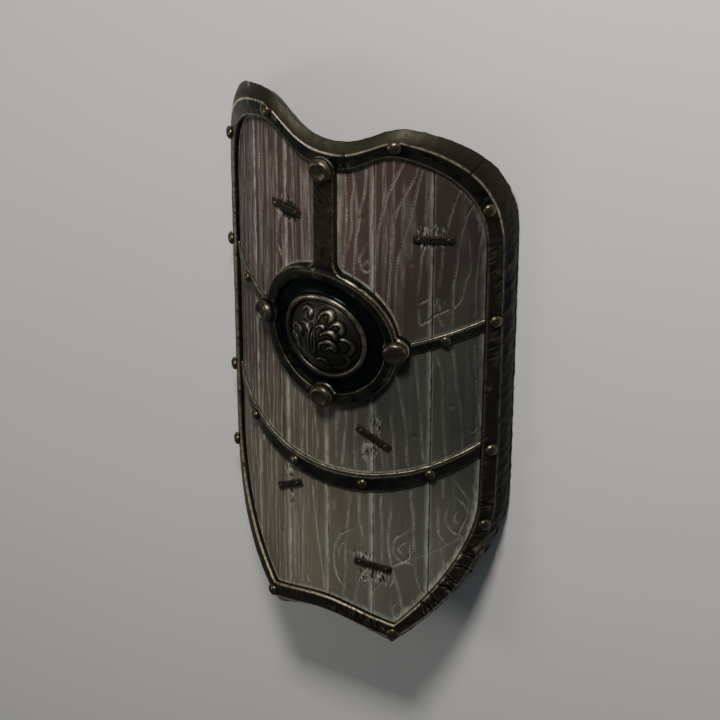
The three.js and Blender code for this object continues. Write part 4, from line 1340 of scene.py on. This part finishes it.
def rusted_iron():
    material, tree, shader, place = finish_of("rusted_iron", 0.35)
    cloud = mottle(tree, place, 90.0, 5.0, 0.65)
    speck = mottle(tree, place, 420.0, 3.0, 0.6)
    tone = blend(tree, spread(tree, cloud, 0.38, 0.62), (0.020, 0.010, 0.007), (0.008, 0.006, 0.005))
    tone = blend(tree, spread(tree, speck, 0.60, 0.72), tone, (0.20, 0.15, 0.10))
    tree.links.new(tone, shader.inputs["Base Color"])
    tree.links.new(spread(tree, speck, 0.3, 0.7, 0.5, 0.75), shader.inputs["Roughness"])
    bumped(tree, shader, cloud, 0.0012, 0.8)
    return material


def slanted(cleat, along, over):
    """A place on a cleat, along it and across it, in the flat pattern"""
    middle, height, slant = cleat
    slant = math.radians(slant)
    x = middle + along * math.cos(slant) - over * math.sin(slant)
    return x, height + along * math.sin(slant) + over * math.cos(slant)


rust = rusted_iron()
half_loop = [(-1, 0), (-1, 0.5), (-0.97, 0.85), (-0.85, 1), (-0.6, 1), (-0.3, 1), (0, 1)]
cleat_loop = half_loop + [(-side, rise) for side, rise in half_loop[-2::-1]]
side, rise = (np.array(column)[None, :] for column in zip(*cleat_loop))
nail_spots, nail_names = [], []
for number, cleat_place in enumerate(cleats):
    along = np.linspace(-cleat_length / 2, cleat_length / 2, 53)[:, None]
    ragged = 1 + 0.13 * ripple(along / 5, side * 1.5 + number, 80 + number)
    end = held((cleat_length / 2 - abs(along)) / 1.5, 0.25) ** 0.3
    over = side * cleat_width / 2 * ragged * (0.94 + 0.06 * end)
    pitted = held(ripple(along / 5, over / 4, 85 + number), -0.4)
    thick = rise * cleat_thickness * (0.93 - 0.16 * pitted) * end
    places = bend(*slanted(cleat_place, along, over), iron_base + thick)
    faces = tube_faces(*thick.shape, turned_over=True)
    cleat = make_piece(f"rusted_cleat_{number + 1}", places, *faces, rust, "cleats")
    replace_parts(cleat, f"cleat_{number + 1}")
    for nail, way in ((1, -1), (2, 1)):
        spot = slanted(cleat_place, way * (cleat_length / 2 - nail_inset), 0)
        nail_spots.append((*spot, nail_seat))
        nail_names.append(f"cleat_nail_{number + 1}_{nail}")
heads(
    "cleat_nails", nail_spots, nail_names, bolt_iron, 6, "cleats",
    radius=4.5, flat=1, skirt=0.5, height=2, dish=0, lumps=0.6,
)


# The grip. A plain iron bar across the hand hole, behind the boards. It is wide and flat at its ends,
# and narrow and thick in its middle for the fist.
grip_length = 210.0
grip_end_width = 31.0
grip_waist_width = 26.0
grip_end_thickness = 5.4
grip_waist_thickness = 11.7
squared = 2 / 4.5

along = np.linspace(-grip_length / 2, grip_length / 2, 90)[:, None]
swell = np.cos(math.pi * along / grip_length) ** 2
around = np.linspace(0, 2 * math.pi, 40, endpoint=False)[None, :]
half = (grip_end_width + (grip_waist_width - grip_end_width) * swell) / 2
thick = (grip_end_thickness + (grip_waist_thickness - grip_end_thickness) * swell) / 2
side = np.sign(np.cos(around)) * abs(np.cos(around)) ** squared
rise = np.sign(np.sin(around)) * abs(np.sin(around)) ** squared
top = wood_back - fit_gap
out = np.minimum(top - thick + rise * thick, top)
places = bend(along, grip_level + half * side, out)
faces = tube_faces(*out.shape)
grip = make_piece("hand_grip", places, *faces, frame_iron, "iron", rubbed=0 * out + 0.25)
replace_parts(grip, "grip")
